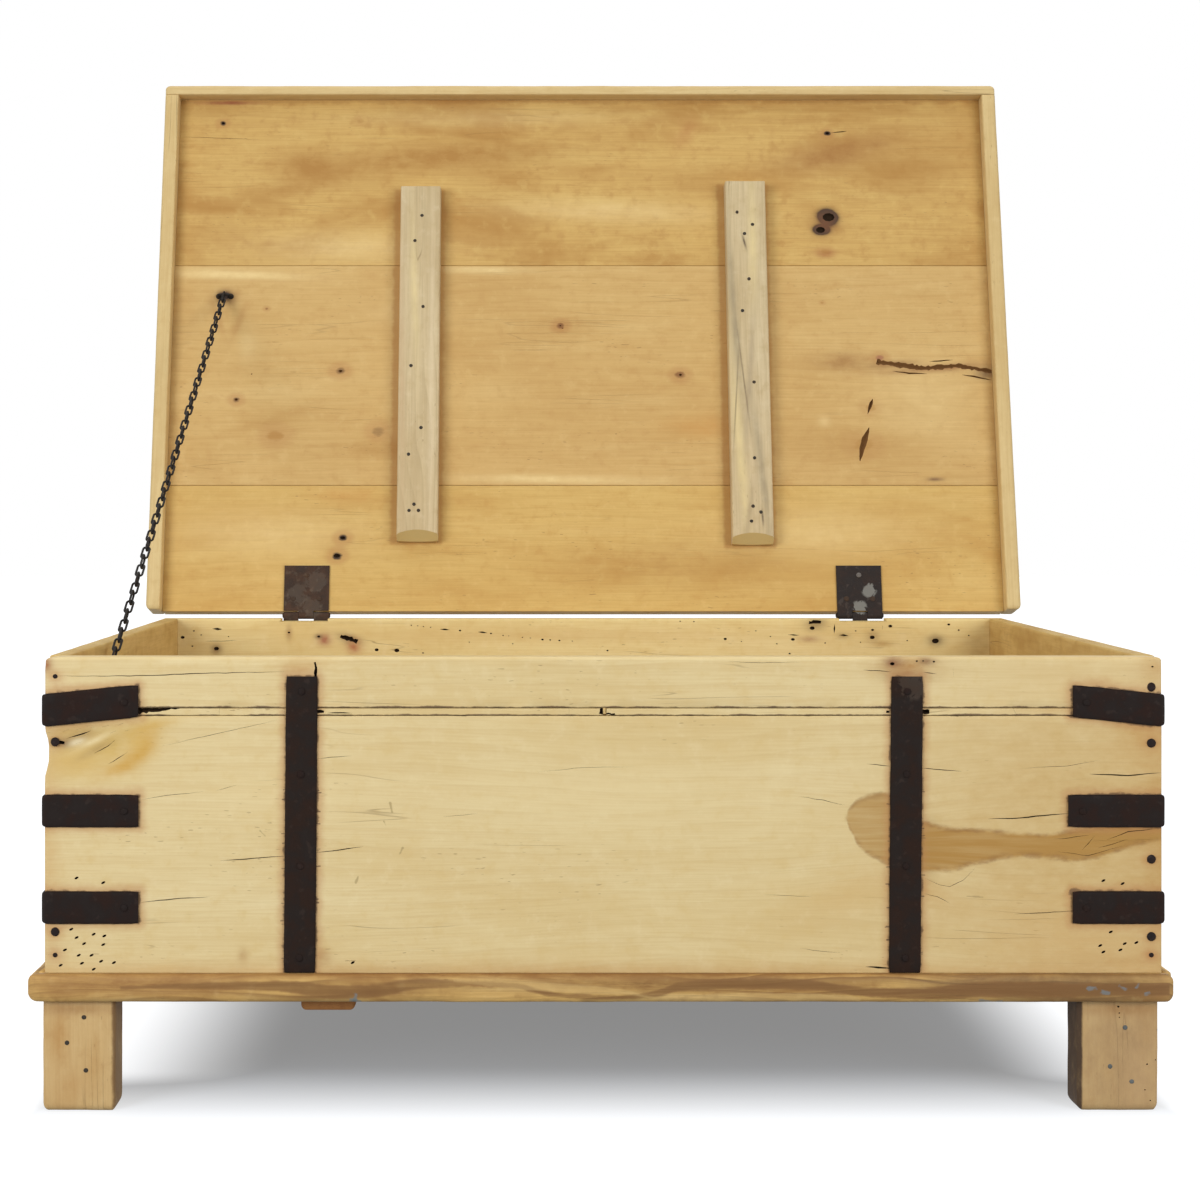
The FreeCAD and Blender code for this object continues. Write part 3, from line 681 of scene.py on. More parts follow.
FRONT_FACE = Face((0, FRONT_Y, 0), (1, 0, 0), (0, 0, 1))
REAR_FACE = Face((0, REAR_INNER_Y, 0), (1, 0, 0), (0, 0, 1))
LID_FACE = Face((0, LID_REAR_Y, LID_UNDER), (1, 0, 0), (0, -1, 0))


def carve_cracks(piece, rows, face, inside, draw):
    cutter = bmesh.new()
    for points, width, depth in rows:
        add_crack(cutter, [face.at(*p) for p in points], width, depth, face.normal, draw)
    carve(piece, cutter, inside)


def carve_pits(piece, cuts, face, inside, draw):
    cutter = bmesh.new()
    across, up = face.turned(cuts.get("turn", 0))
    for u, v, radius in cuts["pits"]:
        lean = draw.uniform(0.2, 1.0) * radius * MM
        add_pit(cutter, face.at(u, v), across, up, radius * MM, cuts.get("flat", 0.72), lean)
    carve(piece, cutter, inside)


def board(node, materials, rounds, step=14, wear=0.3, shape=None, cuts=None, face=None):
    """Stand a worn board in for a node, with its cracks and holes cut into it."""
    mesh = bmesh.new()
    add_block(mesh, *own_box(node), rounds, step, wear, shape)
    piece = finished("worn_" + node, mesh)
    piece.data.materials.append(materials[0])
    cuts = cuts or {}
    draw = random.Random(node)
    if "seats" in cuts:
        cutter = bmesh.new()
        for low, high in cuts["seats"]:
            add_seat(cutter, low, high)
        carve(piece, cutter, materials[0])
    for inside, kind in ((1, "cracks"), (2, "chips")):
        if kind in cuts:
            carve_cracks(piece, cuts[kind], face, materials[inside], draw)
    if "pits" in cuts:
        carve_pits(piece, cuts, face, materials[1], draw)
    if node in LID_NODES:
        piece.data.transform(TO_OPEN)
    dress(piece, node, *materials)


# Wood colours
PALE_LOOK = look((219, 198, 147), (194, 162, 104), (207, 178, 118), (229, 212, 166), pitch=19)
REAR_LOOK = look((227, 205, 144), (204, 172, 106), (212, 181, 114), (234, 215, 164))
# The side boards are darker than the rear ones, partly in their own tone and partly as painted shade of their
# inner faces inside the chest
SIDE_TONE_AND_SHADE_LOOK = look(
    (204, 174, 108), (170, 134, 74), (170, 132, 68), (212, 186, 130), cloud_share=0.7, cloud_scale=7.0,
)
FLOOR_LOOK = look((200, 160, 94), (170, 128, 68), (180, 136, 74), (210, 178, 118), cloud_scale=2.4)
FLOOR_BATTEN_LOOK = look((166, 112, 58), (128, 82, 40), (134, 86, 42), (190, 138, 80))
TRIM_LOOK = look(
    (218, 177, 104), (84, 54, 26), (142, 100, 50), (230, 198, 134), pitch=9, ring_share=1.0,
    cloud_share=0.95, pale_share=0.6, cloud_scale=7.0,
)
LEG_LOOK = look((204, 172, 118), (176, 138, 86), (178, 138, 84), (216, 190, 142), ring_share=0.5)
LID_REAR_LOOK = look(
    (211, 177, 105), (182, 140, 72), (190, 146, 76), (224, 194, 126), cloud_share=0.6, cloud_scale=4.0,
    hair_share=0.2,
)
LID_MIDDLE_LOOK = look(
    (206, 171, 108), (182, 141, 78), (188, 147, 86), (220, 191, 130), cloud_share=0.45, cloud_scale=4.5,
    hair_share=0.2,
)
LID_FRONT_LOOK = look(
    (205, 168, 98), (172, 127, 62), (174, 128, 64), (218, 188, 117), cloud_share=0.85, cloud_scale=5.0,
    hair_share=0.2,
)
EDGE_LOOK = look((214, 188, 132), (186, 152, 94), (196, 164, 106), (224, 202, 148))
BATTEN_LOOK = look(
    (205, 185, 144), (160, 138, 98), (180, 156, 112), (220, 204, 168), pitch=9, ring_share=0.45,
)
BROWN = (170, 124, 60)
RUST = (178, 124, 74)
# Dark crumbs of wood, also the colour of the painted shade in the filler strip's gaps
DARK_CRUMBS_AND_GAP_SHADE = (84, 60, 40)
KNOT_BROWN = (128, 84, 46)
KNOT_BLACK = (38, 24, 22)
GREY_PAINT = (112, 122, 124)
hollow_wood = plain("hollow_wood", (44, 31, 20))
brown_hollow_wood = plain("brown_hollow_wood", (112, 78, 44))
chipped_wood = plain("chipped_wood", (120, 88, 50))


# Marks on the front and rear walls: millimetres across from the middle and up from the ground. A crack is its
# line, its width and its depth; a pit is its place and radius; a cloud is its place, its reach both ways, its
# colour, its strength and its turn in degrees
RAIL_CRACKS = (
    (((-512, 408), (-444, 408), (-375, 410.5), (-299, 412)), 0.9, 2.5),
    (((-270.6, 421), (-269.6, 413), (-270, 402)), (2.6, 3), 5), (((244, 413.7), (270, 412)), 0.9, 3),
    (((300, 411.5), (313, 410)), 0.9, 3), (((328, 417), (328.5, 407)), 0.4, 1),
    (((184, 421), (150, 420.4), (118, 421.4)), 0.4, 1.5),
)
RAIL_PITS = ((271, 419.5, 2.2), (294, 422, 1.1), (300, 422.2, 0.9), (310, 421.5, 1.2), (515, 416.8, 1.1))
BOARD_CRACKS = (
    (((361, 273.9), (391, 274.9), (413, 277.1), (440, 279.2)), 1.3, 4),
    (((456, 316.1), (475, 315.5), (492, 314.6), (523, 317.4)), 1.4, 4),
    (((247, 325.6), (271, 323.4)), 0.9, 3), (((298, 321.6), (319, 319.9), (336, 318.6)), 0.9, 3),
    (((385, 184.8), (416, 186.1), (443, 188.1)), 0.8, 3),
    (((392, 321.6), (435, 323.6), (466, 329.3)), 0.4, 1.5),
    (((472, 254.2), (492, 262.1), (522, 265.2)), 0.8, 2),
    (((302, 218.3), (316, 212), (325, 210.5), (338, 216.7), (350, 229.2)), 0.5, 1.5),
    (((300, 204.2), (313, 201.1), (325, 194.9)), 0.6, 1.5),
    (((246, 135.2), (258, 134.6), (271, 133.9)), 2, 4),
    (((184, 294.9), (206, 291.8), (227, 286.8)), 0.7, 2),
    (((184, 152.7), (203, 150.1), (225, 148.6)), 0.4, 1.5),
    (((-419, 341.1), (-375, 351.1), (-306, 366.8)), 0.45, 1.5),
    (((-434, 291.8), (-410, 296), (-375, 299.6)), 0.5, 1.5), (((-363, 300.5), (-344, 305.8)), 0.45, 1.5),
    (((-359, 234.9), (-334, 236.4), (-296, 239.4)), 1, 3),
    (((-270, 242.2), (-247, 244.9), (-225, 248)), 1, 3),
    (((-435, 195.4), (-403, 198.9), (-369, 201.1)), 1, 3), (((-268, 330.6), (-236, 333.3)), 0.6, 2),
    (((-516, 146.9), (-523, 147)), 0.9, 3), (((517, 163.9), (523.4, 164.2)), 0.9, 3),
    (((517, 147.2), (523.4, 147.6)), 0.7, 3), (((-62, 318), (-20, 322), (30, 323)), 0.35, 1.2),
    (((-150, 276), (-118, 279)), 0.4, 1.2), (((150, 203), (196, 201)), 0.35, 1.2),
    (((-513, 346.6), (-505.5, 345.2)), (6, 3.6), 7), (((-504, 349), (-494, 352), (-481, 356.6)), 2.4, 6),
    (((-478, 335), (-465, 342), (-458, 348)), 2, 6), (((-491, 331), (-484, 333.4)), 1.6, 5),
    (((-465, 325), (-455, 331), (-446, 337)), 1, 4), (((423, 255.2), (436, 256), (456.5, 259)), 0.6, 1.5),
    (((449, 244.9), (455, 251), (461, 258.6)), 0.6, 1.5),
    (((464, 246.8), (478, 250.4), (492, 255.2)), 0.7, 1.5),
    (((423, 243.9), (454.6, 239.6), (490, 249.6)), 0.5, 1.5),
)
INSECT_PITS = (
    (-499, 170.5), (-478, 165.8), (-468, 164.2), (-494, 162.7), (-487, 157), (-469, 156.1), (-505, 151.1),
    (-492, 146.1), (-480, 146.1), (-471, 140.5), (-489, 138.6), (-459, 139.2), (-509, 136.7), (-478, 133),
    (-494, 218.6), (-469, 214.2), (-235, 139.2), (469, 216.1), (487, 213.3), (476, 168), (466, 155.2),
    (469, 149.2), (489, 157), (500, 158), (485, 151.1),
)
KNOT_BAND = (
    (228, 275.5, 2), (233, 273.5, 12), (242, 270, 23), (256, 267, 30), (270, 264, 33), (284, 256, 30),
    (300, 248.5, 23), (325, 246.4, 20), (360, 248.7, 14.5), (388, 249.5, 10.8), (415, 248, 10.6),
    (450, 250.3, 14.5), (475, 254, 12.5), (497, 258, 8.8), (526, 261, 5.5),
)
BAND_STRENGTHS = ((228, 0.72), (262, 0.78), (300, 0.94), (360, 0.98), (470, 1.04), (526, 0.9))
FRONT_CLOUDS = (
    (-470, 343, 48, 23, (201, 169, 98), 0.95, 22), (-500, 352, 24, 13, (194, 160, 94), 0.9, 5),
    (-500, 326, 26, 13, (206, 173, 104), 0.85, 5), (-424, 361, 22, 6, (203, 165, 88), 0.65, 15),
    (-428, 349, 10, 13, (202, 160, 76), 0.7), (-436, 335, 17, 8, (196, 152, 66), 0.85, 42),
    (-452, 322, 20, 6, (198, 154, 70), 0.8, 22), (-440, 346, 10, 9, (206, 168, 88), 0.6),
    (-492, 351, 16, 5, (150, 118, 70), 0.5, 20), (-507, 345, 8, 4, DARK_CRUMBS_AND_GAP_SHADE, 0.7),
    (-478, 338, 16, 4, (168, 138, 86), 0.5, 30), (-476, 348, 18, 3, (228, 208, 158), 0.7, 26),
    (-494, 346, 9, 3.5, (232, 216, 176), 0.7, 16), (440, 250, 150, 190, (194, 161, 102), 0.72),
    (490, 256, 34, 8, (134, 96, 46), 0.5, 6), (306, 245, 9, 24, (132, 104, 58), 0.5),
    (522, 250, 24, 120, (184, 144, 82), 0.75), (505, 350, 30, 24, (190, 150, 88), 0.7),
    (-522, 240, 12, 110, (200, 162, 104), 0.5), (455, 165, 100, 36, (204, 168, 110), 0.5),
    (480, 140, 50, 10, (190, 150, 92), 0.45), (-338, 146, 5, 7, (176, 136, 84), 0.5),
    (-263, 143, 8, 9, (170, 128, 78), 0.6), (240, 205, 60, 20, (206, 172, 112), 0.4, 20),
    (300, 205, 40, 12, (196, 158, 98), 0.5, -20), (-60, 132, 560, 8, (190, 154, 98), 0.5),
    (-300, 300, 80, 30, (226, 204, 152), 0.35), (0, 300, 160, 40, (228, 208, 158), 0.35),
)
SCRAPES = (
    (-200, 289, -198, 280), (-188, 247, -191, 241), (-230, 220, -232, 214), (-322, 263, -317, 258),
    (341, 201.5, 356, 200.5), (-206, 272, -204, 268),
)
RAIL_CLOUDS = (
    (285, 416, 30, 12, (172, 128, 70), 0.75), (284, 408, 18, 5, (110, 78, 48), 0.6),
    (452, 400, 100, 40, (204, 172, 116), 0.45), (272, 421, 9, 6, (120, 70, 44), 0.7),
    (304, 422, 8, 4, (120, 80, 48), 0.6), (-283, 418, 18, 8, (190, 150, 90), 0.6),
    (516, 415, 16, 14, (186, 144, 84), 0.6), (-522, 418, 6, 7, (150, 96, 52), 0.9),
    (460, 376, 60, 3, (190, 150, 88), 0.5),
)
# The first two clouds are painted shade in the rear wall's inner corners beside the side walls; the others are the
# wall's own marks
REAR_CLOUDS_AND_CORNER_SHADE = (
    (-492, 400, 18, 44, (150, 118, 60), 0.18), (494, 392, 18, 30, (140, 106, 54), 0.45, -40),
    (-322, 400.5, 9, 8, (164, 102, 74), 0.85), (-329, 404, 5, 3, (70, 44, 32), 0.8),
    (-291, 401, 15, 6, (96, 62, 42), 0.7, -18), (-285, 391, 9, 9, (176, 112, 72), 0.8),
    (-456, 389, 7, 7, (120, 86, 48), 0.7), (-366, 409, 4, 9, (150, 108, 66), 0.6),
    (288, 420, 13, 8, (110, 80, 48), 0.7), (280, 401, 14, 4, (160, 116, 84), 0.6),
    (323, 405, 8, 4, (130, 104, 60), 0.6), (359, 404, 9, 7, (150, 120, 76), 0.6),
    (370, 395, 14, 4, (176, 138, 78), 0.6), (437, 399, 11, 7, (96, 72, 48), 0.7),
    (350, 408, 90, 16, (190, 154, 90), 0.2), (-60, 405, 220, 9, (202, 166, 106), 0.35),
)
REAR_PITS = (
    (-498, 403, 2.6), (-456, 389, 3.2), (-366, 409, 1.6), (-329, 404, 1.8), (-257, 387.5, 2.6),
    (-232, 386.8, 3.2), (-199.5, 383.6, 1.2), (-153.5, 411.5, 1.5), (-115, 407.8, 1.3), (-51, 400.3, 1.6),
    (-41.5, 399.7, 1.1), (-30, 399.1, 1.3), (29.7, 386.6, 1.3), (120, 423, 1), (137, 422.6, 1),
    (176, 401, 2), (256, 382.8, 1.4), (260, 400.5, 2.4), (284, 414.5, 3.2), (359, 412.3, 1.8),
    (358.6, 403, 3.2), (381, 417, 2.4), (453.6, 419, 1.8), (437, 398.5, 4.4), (466, 412, 1.3),
    (478.5, 405.3, 1.1), (-441, 404, 0.9), (-88, 395, 0.9), (-142, 397, 0.8), (214, 411, 0.9),
    (402, 399, 1), (-214, 418, 1), (-206, 417.3, 0.8), (-199, 416.4, 0.9), (-190, 415.4, 0.8),
    (-100, 405.4, 0.9), (-93, 404.8, 0.7), (-76, 403, 0.9), (-66, 402.2, 0.8), (-14, 398.4, 0.8),
    (196, 398, 0.8), (232, 404, 0.9), (240, 395, 1), (300, 396, 1.1), (338, 411, 1), (344, 397, 0.9),
    (-484, 411, 1.2), (-475, 406, 1), (-486, 392, 1.3),
)
REAR_CRACKS = (
    (((-302, 404.5), (-291, 401.5), (-281, 397.5)), (5, 6.5), 5), (((-461, 413.6), (-449, 413.2)), 3, 4),
    (((-178.5, 413), (-166, 412.3)), 2.6, 4), (((-131, 409.6), (-119.5, 408.6)), 2.6, 4),
    (((280, 421.5), (288, 422.3), (295, 421.8)), (4.6, 5.2), 5), (((311.7, 419.5), (311.5, 408)), 2.2, 3),
    (((254, 406.2), (268, 405.6)), 1.8, 3), (((317.5, 405.6), (329, 405.2)), 3, 2.5),
    (((371.3, 417.5), (371.2, 412.8)), 1.8, 3), (((156, 401.2), (164, 400.8)), 1.4, 2.5),
    (((-470, 398), (-430, 399)), 0.6, 1.5),
)


STRAP_END = 4 * MM


def strap_line(points):
    """A corner strap's ends, faces and middle heights, and half its width."""
    (x0, x1), (y0, y1) = span_of(points, 0), span_of(points, 1)
    outer_x, inner_x = (x1, x0) if x1 > 0 else (x0, x1)
    outer_y, inner_y = (y0, y1) if y0 < 0 else (y1, y0)

    def level(test):
        heights = [p.z for p in points if test(p)]
        return (min(heights) + max(heights)) / 2, (max(heights) - min(heights)) / 2

    near_end, near_corner = 6 * MM, 3.6 * MM
    at_end, half = level(lambda p: abs(p.x - inner_x) < near_end)
    at_side, half = level(lambda p: abs(p.y - inner_y) < near_end)
    at_corner, half = level(lambda p: abs(p.x - outer_x) < near_corner and abs(p.y - outer_y) < near_corner)
    return outer_x, inner_x, outer_y, inner_y, at_end, at_side, at_corner, half


def strap_ends(node):
    """A face strap's spread at its lower and upper end, and the heights of both."""
    points = points_of(node)
    z0, z1 = span_of(points, 2)
    low, high = [p for p in points if p.z < z0 + STRAP_END], [p for p in points if p.z > z1 - STRAP_END]
    return span_of(low, 0), span_of(high, 0), z0, z1


def iron_marks_and_gap_shade():
    """Rust and dirt that have crept from the iron into the front wall round it, and painted shade in the gaps
    along the filler strip's edges.
    """
    bars = []
    for node in ("corner_straps_front_left", "corner_straps_front_right"):
        for points in islands(node):
            outer_x, inner_x, outer_y, inner_y, at_end, at_side, at_corner, half = strap_line(points)
            bars.append((inner_x, at_end, outer_x, at_corner, half))
    for node in ("face_strap_left", "face_strap_right"):
        low_x, high_x, z0, z1 = strap_ends(node)
        bars.append((sum(low_x) / 2, z0, sum(high_x) / 2, z1, (low_x[1] - low_x[0]) / 2))
    bars = [[value / MM for value in bar] for bar in bars]
    patches = []
    for x0, z0, x1, z1, half in bars:
        patches.append(((x0, z0), (x1, z1), half - 1, 11, RUST, 0.55, 0.5))
        patches.append(((x0, z0), (x1, z1), half - 1.2, 2.2, DARK_CRUMBS_AND_GAP_SHADE, 0.75, 3.0))
    draw = random.Random(31)
    for x0, z0, x1, z1, half in bars[6:]:
        for side in [-1] * 9 + [1] * 9:
            share = draw.uniform(0.04, 0.62)
            x, z = x0 + (x1 - x0) * share + side * half, z0 + (z1 - z0) * share
            end = (x + side * draw.uniform(1.5, 3.6), z + draw.uniform(-0.4, 0.4))
            patches.append(((x, z), end, 0.1, 0.8, DARK_CRUMBS_AND_GAP_SHADE, 0.75, 1.5))
    # Painted shade: dark lines in the gaps along the filler strip's upper and lower edges
    for z in (378.9, 371.4):
        patches.append(((-520, z), (520, z), 0, 1.1, DARK_CRUMBS_AND_GAP_SHADE, 0.85, 2.2))
    return tuple(patches)


def nail_marks():
    clouds = []
    for points in islands("wall_nails"):
        if span_of(points, 1)[0] < FRONT_Y:
            x, z = sum(span_of(points, 0)) / 2, sum(span_of(points, 2)) / 2
            clouds.append((x / MM, z / MM, 8, 7, RUST, 0.6))
    return tuple(clouds)


def strokes(rows, *mark):
    """Short straight marks of one kind."""
    return tuple(((x0, z0), (x1, z1), *mark) for x0, z0, x1, z1 in rows)


IRON_MARKS_AND_GAP_SHADE = iron_marks_and_gap_shade()
NAIL_MARKS = nail_marks()

front_wood = wood(
    "front_wood", PALE_LOOK, seed=3.1, swirls=((262, 256, 75, 52, 26), (60, 240, 210, 90, 30)),
    clouds=FRONT_CLOUDS + NAIL_MARKS, side=FRONT_Y,
    ribbons=((KNOT_BAND, BAND_STRENGTHS, (168, 127, 62), 2.6),),
    patches=IRON_MARKS_AND_GAP_SHADE + strokes(SCRAPES, 0.1, 1.2, (150, 128, 82), 0.6, 2.0),
)
rail_wood = wood(
    "rail_wood", PALE_LOOK, seed=8.4, clouds=RAIL_CLOUDS + NAIL_MARKS[:6], patches=IRON_MARKS_AND_GAP_SHADE, side=FRONT_Y,
)
rear_wood = wood("rear_wood", REAR_LOOK, seed=14.9, clouds=REAR_CLOUDS_AND_CORNER_SHADE, side=REAR_INNER_Y)
side_wood = wood("side_wood", SIDE_TONE_AND_SHADE_LOOK, "deep", seed=21.2, rough=(0.6, 0.75))
floor_wood = wood("floor_wood", FLOOR_LOOK, "flat", seed=27.5)
floor_batten_wood = wood("floor_batten_wood", FLOOR_BATTEN_LOOK, "deep_flat", seed=29.1)
OLIVE_WAVE = (
    (-451, 118, 1), (-317, 120, 4), (-235, 114, 6), (-160, 122, 4), (-85, 120, 2), (4, 109, 2),
    (71, 119, 4), (153, 122, 5), (220, 117, 4), (295, 113, 5), (370, 117, 7), (444, 116, 6), (528, 117, 5),
)
PALE_WAVE = (
    (-140, 125, 1), (-100, 122, 3), (-40, 118, 4), (20, 114, 2), (60, 108, 1), (110, 109, 4), (180, 109, 4),
    (240, 107, 1),
)
TRIM_CLOUDS_AND_TOP_SHADE = (
    (340, 118, 60, 9, (128, 92, 50), 0.75, 4), (450, 114, 50, 8, (146, 110, 64), 0.7),
    (-235, 113, 60, 5, (140, 100, 56), 0.7, 3), (-500, 118, 30, 12, (158, 116, 64), 0.5),
    # The long cloud at height 131 is painted shade: it darkens the trim's upper edge, which the light from above
    # brightens
    (520, 112, 12, 14, (160, 116, 64), 0.7), (0, 131, 560, 5, (136, 94, 48), 0.9),
    (430, 120, 110, 16, (112, 82, 48), 0.8), (-430, 122, 110, 14, (146, 103, 54), 0.75),
    (60, 122, 120, 9, (134, 96, 50), 0.75),
)
TRIM_PAINT = (
    (-236, 107, -228, 104), (-231, 112, -233, 106), (352, 106, 372, 105), (452, 117, 459, 118.6),
    (466, 114, 472, 113), (481, 120, 487, 117), (497, 118, 499, 122), (505, 113, 509, 114),
)
trim_wood = wood(
    "trim_wood", TRIM_LOOK, seed=31.0,
    swirls=((-420, 117, 70, 12, 20), (60, 117, 110, 14, 26), (330, 117, 60, 12, 18)),
    clouds=TRIM_CLOUDS_AND_TOP_SHADE, patches=strokes(TRIM_PAINT, 0.3, 2.0, GREY_PAINT, 0.7, 3.2),
    ribbons=(
        (OLIVE_WAVE, ((-451, 0.7), (100, 0.85), (528, 0.97)), (118, 82, 42), 1.4),
        (PALE_WAVE, ((-140, 0.35), (240, 0.5)), (212, 178, 116), 1),
    ),
)
side_trim_wood = wood("side_trim_wood", TRIM_LOOK, "deep", seed=34.0)


def leg_edge_shade(side, half, soft, colour, strength, ragged):
    """A dark stripe up a front leg's inner edge: painted shade of the leg's inner side, which stands under the
    chest.
    """
    low, high = own_box("leg_front_" + side)
    edge = (high if side == "left" else low).x / MM
    return (((0, edge), (RIM / MM, edge), half, soft, colour, strength, ragged),)


left_leg_wood = wood(
    "left_leg_wood", LEG_LOOK, "post", seed=37.7,
    patches=leg_edge_shade("left", 0.8, 3.5, (110, 76, 42), 0.75, 1.0),
    clouds=(
        (70, -512, 20, 10, (176, 130, 70), 0.6), (20, -500, 26, 16, (184, 142, 86), 0.5),
        (45, -478, 26, 8, (180, 138, 80), 0.5), (96, -500, 6, 40, (150, 108, 60), 0.6),
    ),
)
right_leg_wood = wood(
    "right_leg_wood", LEG_LOOK, "post", seed=40.2,
    patches=leg_edge_shade("right", 3.4, 1.6, (56, 37, 22), 0.95, 0.6),
    clouds=(
        (30, 500, 40, 16, (196, 160, 118), 0.6), (80, 510, 20, 10, (176, 136, 84), 0.5),
        (50, 484, 80, 60, (166, 134, 92), 0.75), (96, 490, 6, 40, (150, 108, 60), 0.6),
    ),
)

# The lid's underside: millimetres from its middle and forward from its rear edge. A knot is its place, its
# radius, its strength and its heart's colour
LID_REAR = LID_REAR_Y / MM
LID_KNOTS = {
    "lid_board_rear": ((-303, 94, 4.6, 1, KNOT_BLACK), (-310, 71, 5.2, 1, KNOT_BLACK)),
    "lid_board_middle": (
        (-310, 313, 5.4, 0.95, (104, 72, 40)), (-443, 275, 4, 1, (96, 62, 34)), (-392, 227, 8, 0.7, BROWN),
        (-260, 233, 6.5, 0.8, (146, 112, 66)), (-27, 374, 4.6, 0.95, KNOT_BROWN),
        (127, 308, 5.2, 0.9, KNOT_BROWN), (-407, 397, 1.8, 0.8, KNOT_BROWN), (312, 405, 1.6, 0.6, BROWN),
        (384, 331, 4.4, 0.7, (150, 90, 70)), (370, 265, 5.5, 0.5, BROWN), (360, 215, 9, 0.5, BROWN),
    ),
    "lid_board_front": (
        (-471, 653, 3.4, 1, KNOT_BLACK), (326, 639, 3.4, 1, KNOT_BLACK), (-290, 656, 4, 0.4, BROWN),
        (318, 475, 4, 0.5, BROWN),
    ),
}
PALE_STREAK = (232, 206, 146)
LID_CLOUDS = {
    "lid_board_rear": (
        (120, 60, 150, 26, BROWN, 0.4), (-200, 140, 60, 12, BROWN, 0.3),
        (-50, 178, 110, 5, PALE_STREAK, 0.7, 2), (-300, 150, 40, 12, (196, 140, 70), 0.4),
        (-310, 84, 22, 16, BROWN, 0.35), (-390, 100, 120, 30, PALE_STREAK, 0.4),
        (300, 100, 120, 30, PALE_STREAK, 0.4),
    ),
    "lid_board_middle": (
        (340, 325, 44, 12, (150, 104, 52), 0.6), (-250, 210, 80, 12, BROWN, 0.4),
        (-27, 374, 34, 12, BROWN, 0.45), (-450, 443, 90, 6, PALE_STREAK, 0.75, 2),
        (-130, 450, 60, 5, PALE_STREAK, 0.6, 1), (-40, 170, 130, 6, PALE_STREAK, 0.7, 1),
        (-458, 412, 14, 10, (140, 96, 54), 0.7), (-462, 414, 8, 5.5, KNOT_BLACK, 1.6),
        (-470, 385, 5, 26, (176, 128, 72), 0.5, -20), (-442, 380, 5, 28, (176, 128, 72), 0.45, 20),
        (-430, 345, 12, 22, PALE_STREAK, 0.35), (-392, 250, 60, 8, BROWN, 0.35, -18),
        (330, 215, 90, 26, BROWN, 0.3), (440, 280, 60, 50, PALE_STREAK, 0.3),
        (310, 246, 8, 7, PALE_STREAK, 0.5), (400, 322, 30, 5, (140, 98, 54), 0.8, -5),
        (460, 317, 70, 5, (150, 104, 60), 0.8, -5), (520, 310, 14, 8, (96, 66, 44), 0.7),
        (449, 170, 10, 2.5, (112, 80, 56), 0.8), (-230, 390, 50, 20, PALE_STREAK, 0.3),
        (160, 240, 50, 16, (196, 136, 60), 0.35),
    ),
    "lid_board_front": (
        (-350, 590, 50, 22, BROWN, 0.95, 10), (-390, 560, 60, 14, BROWN, 0.6, -12),
        (-180, 606, 150, 20, BROWN, 0.9, -4), (340, 612, 80, 20, (160, 112, 58), 0.8, -12),
        (420, 590, 70, 22, BROWN, 0.55), (-470, 500, 50, 20, BROWN, 0.4), (160, 570, 60, 20, BROWN, 0.4),
        (-465, 682, 36, 3, (146, 78, 54), 0.8), (40, 530, 130, 14, PALE_STREAK, 0.4, 2),
        (321, 515, 24, 20, BROWN, 0.45), (323, 522, 9, 7.4, KNOT_BLACK, 9, 20),
        (314, 505, 7.2, 4.8, KNOT_BLACK, 9), (319, 514, 16, 15, (120, 74, 40), 0.6),
        (318, 472, 14, 6, (160, 104, 56), 0.7), (140, 640, 12, 24, (176, 116, 66), 0.35, 30),
        (-300, 480, 120, 22, PALE_STREAK, 0.4), (560, 640, 100, 60, BROWN, 0.4),
        (-120, 660, 160, 12, PALE_STREAK, 0.25),
    ),
}
LID_CUTS = {
    "lid_board_rear": {"pits": ((-303, 94, 3.4), (-310, 71, 4.4)), "flat": 0.6},
    "lid_board_middle": {
        "cracks": (
            (((380, 326), (404, 321.5), (440, 317), (470, 319), (485, 320.4), (528, 312)), (8, 6), 3),
            (((400, 313), (421, 310), (444, 309.4)), 2.4, 3),
            (((448, 325.6), (462, 326.6), (478, 328)), 1.8, 3),
            (((489, 308), (504, 306), (527, 301)), 2.6, 3), (((373, 276), (369, 265), (366, 256)), 5.5, 5),
            (((367, 238), (361, 223), (357, 210), (354, 194)), 10, 5),
        ),
        "pits": (
            (-27, 374, 1.2), (-24, 370.5, 0.9), (-310, 313, 2.4), (127, 308, 2), (-443, 275, 2.2),
            (-424, 309, 0.9),
        ),
    },
    "lid_board_front": {
        "cracks": (
            (((331, 639.6), (340, 640.6), (352, 642)), 1.7, 4),
            (((-523, 634), (-470, 632), (-422, 630)), 0.5, 1.5),
        ),
        "pits": ((-471, 653, 2.2), (326, 639, 2.6), (324, 522, 8), (313, 504.5, 6)),
    },
}


def lid_marks_and_shade(node):
    """A lid board's knots and stains, and the painted shade beside the battens and inside the lid's edges, in
    millimetres of the closed lid.
    """
    knots, clouds = [
        [(u, LID_REAR - v, *rest) for u, v, *rest in rows[node]] for rows in (LID_KNOTS, LID_CLOUDS)
    ]
    patches = []
    # Painted shade on the boards along both sides of each batten
    for batten in ("lid_batten_left", "lid_batten_right"):
        low, high = [corner / MM for corner in own_box(batten)]
        middle, half = (low.x + high.x) / 2 - 2, (high.x - low.x) / 2
        patches.append(((middle, low.y), (middle, high.y), half + 4, 6, (166, 116, 58), 0.6, 0.7))
    # Painted shade along the inner side of the lid's left, right and front edges
    low, high = own_box("lid_board_front")[0] / MM, own_box("lid_board_rear")[1] / MM
    for x in (low.x, high.x):
        patches.append(((x, low.y), (x, high.y), 1, 5, (134, 90, 50), 0.24))
    patches.append(((low.x, low.y), (high.x, low.y), 2, 6, (142, 96, 48), 0.4))
    return {"side": LID_UNDER, "knots": knots, "clouds": clouds, "patches": patches}


def batten_marks(rows):
    """Clouds on the battens, from millimetres across the lid and back from its rear edge."""
    return [(LID_REAR + y, x, *rest) for x, y, *rest in rows]


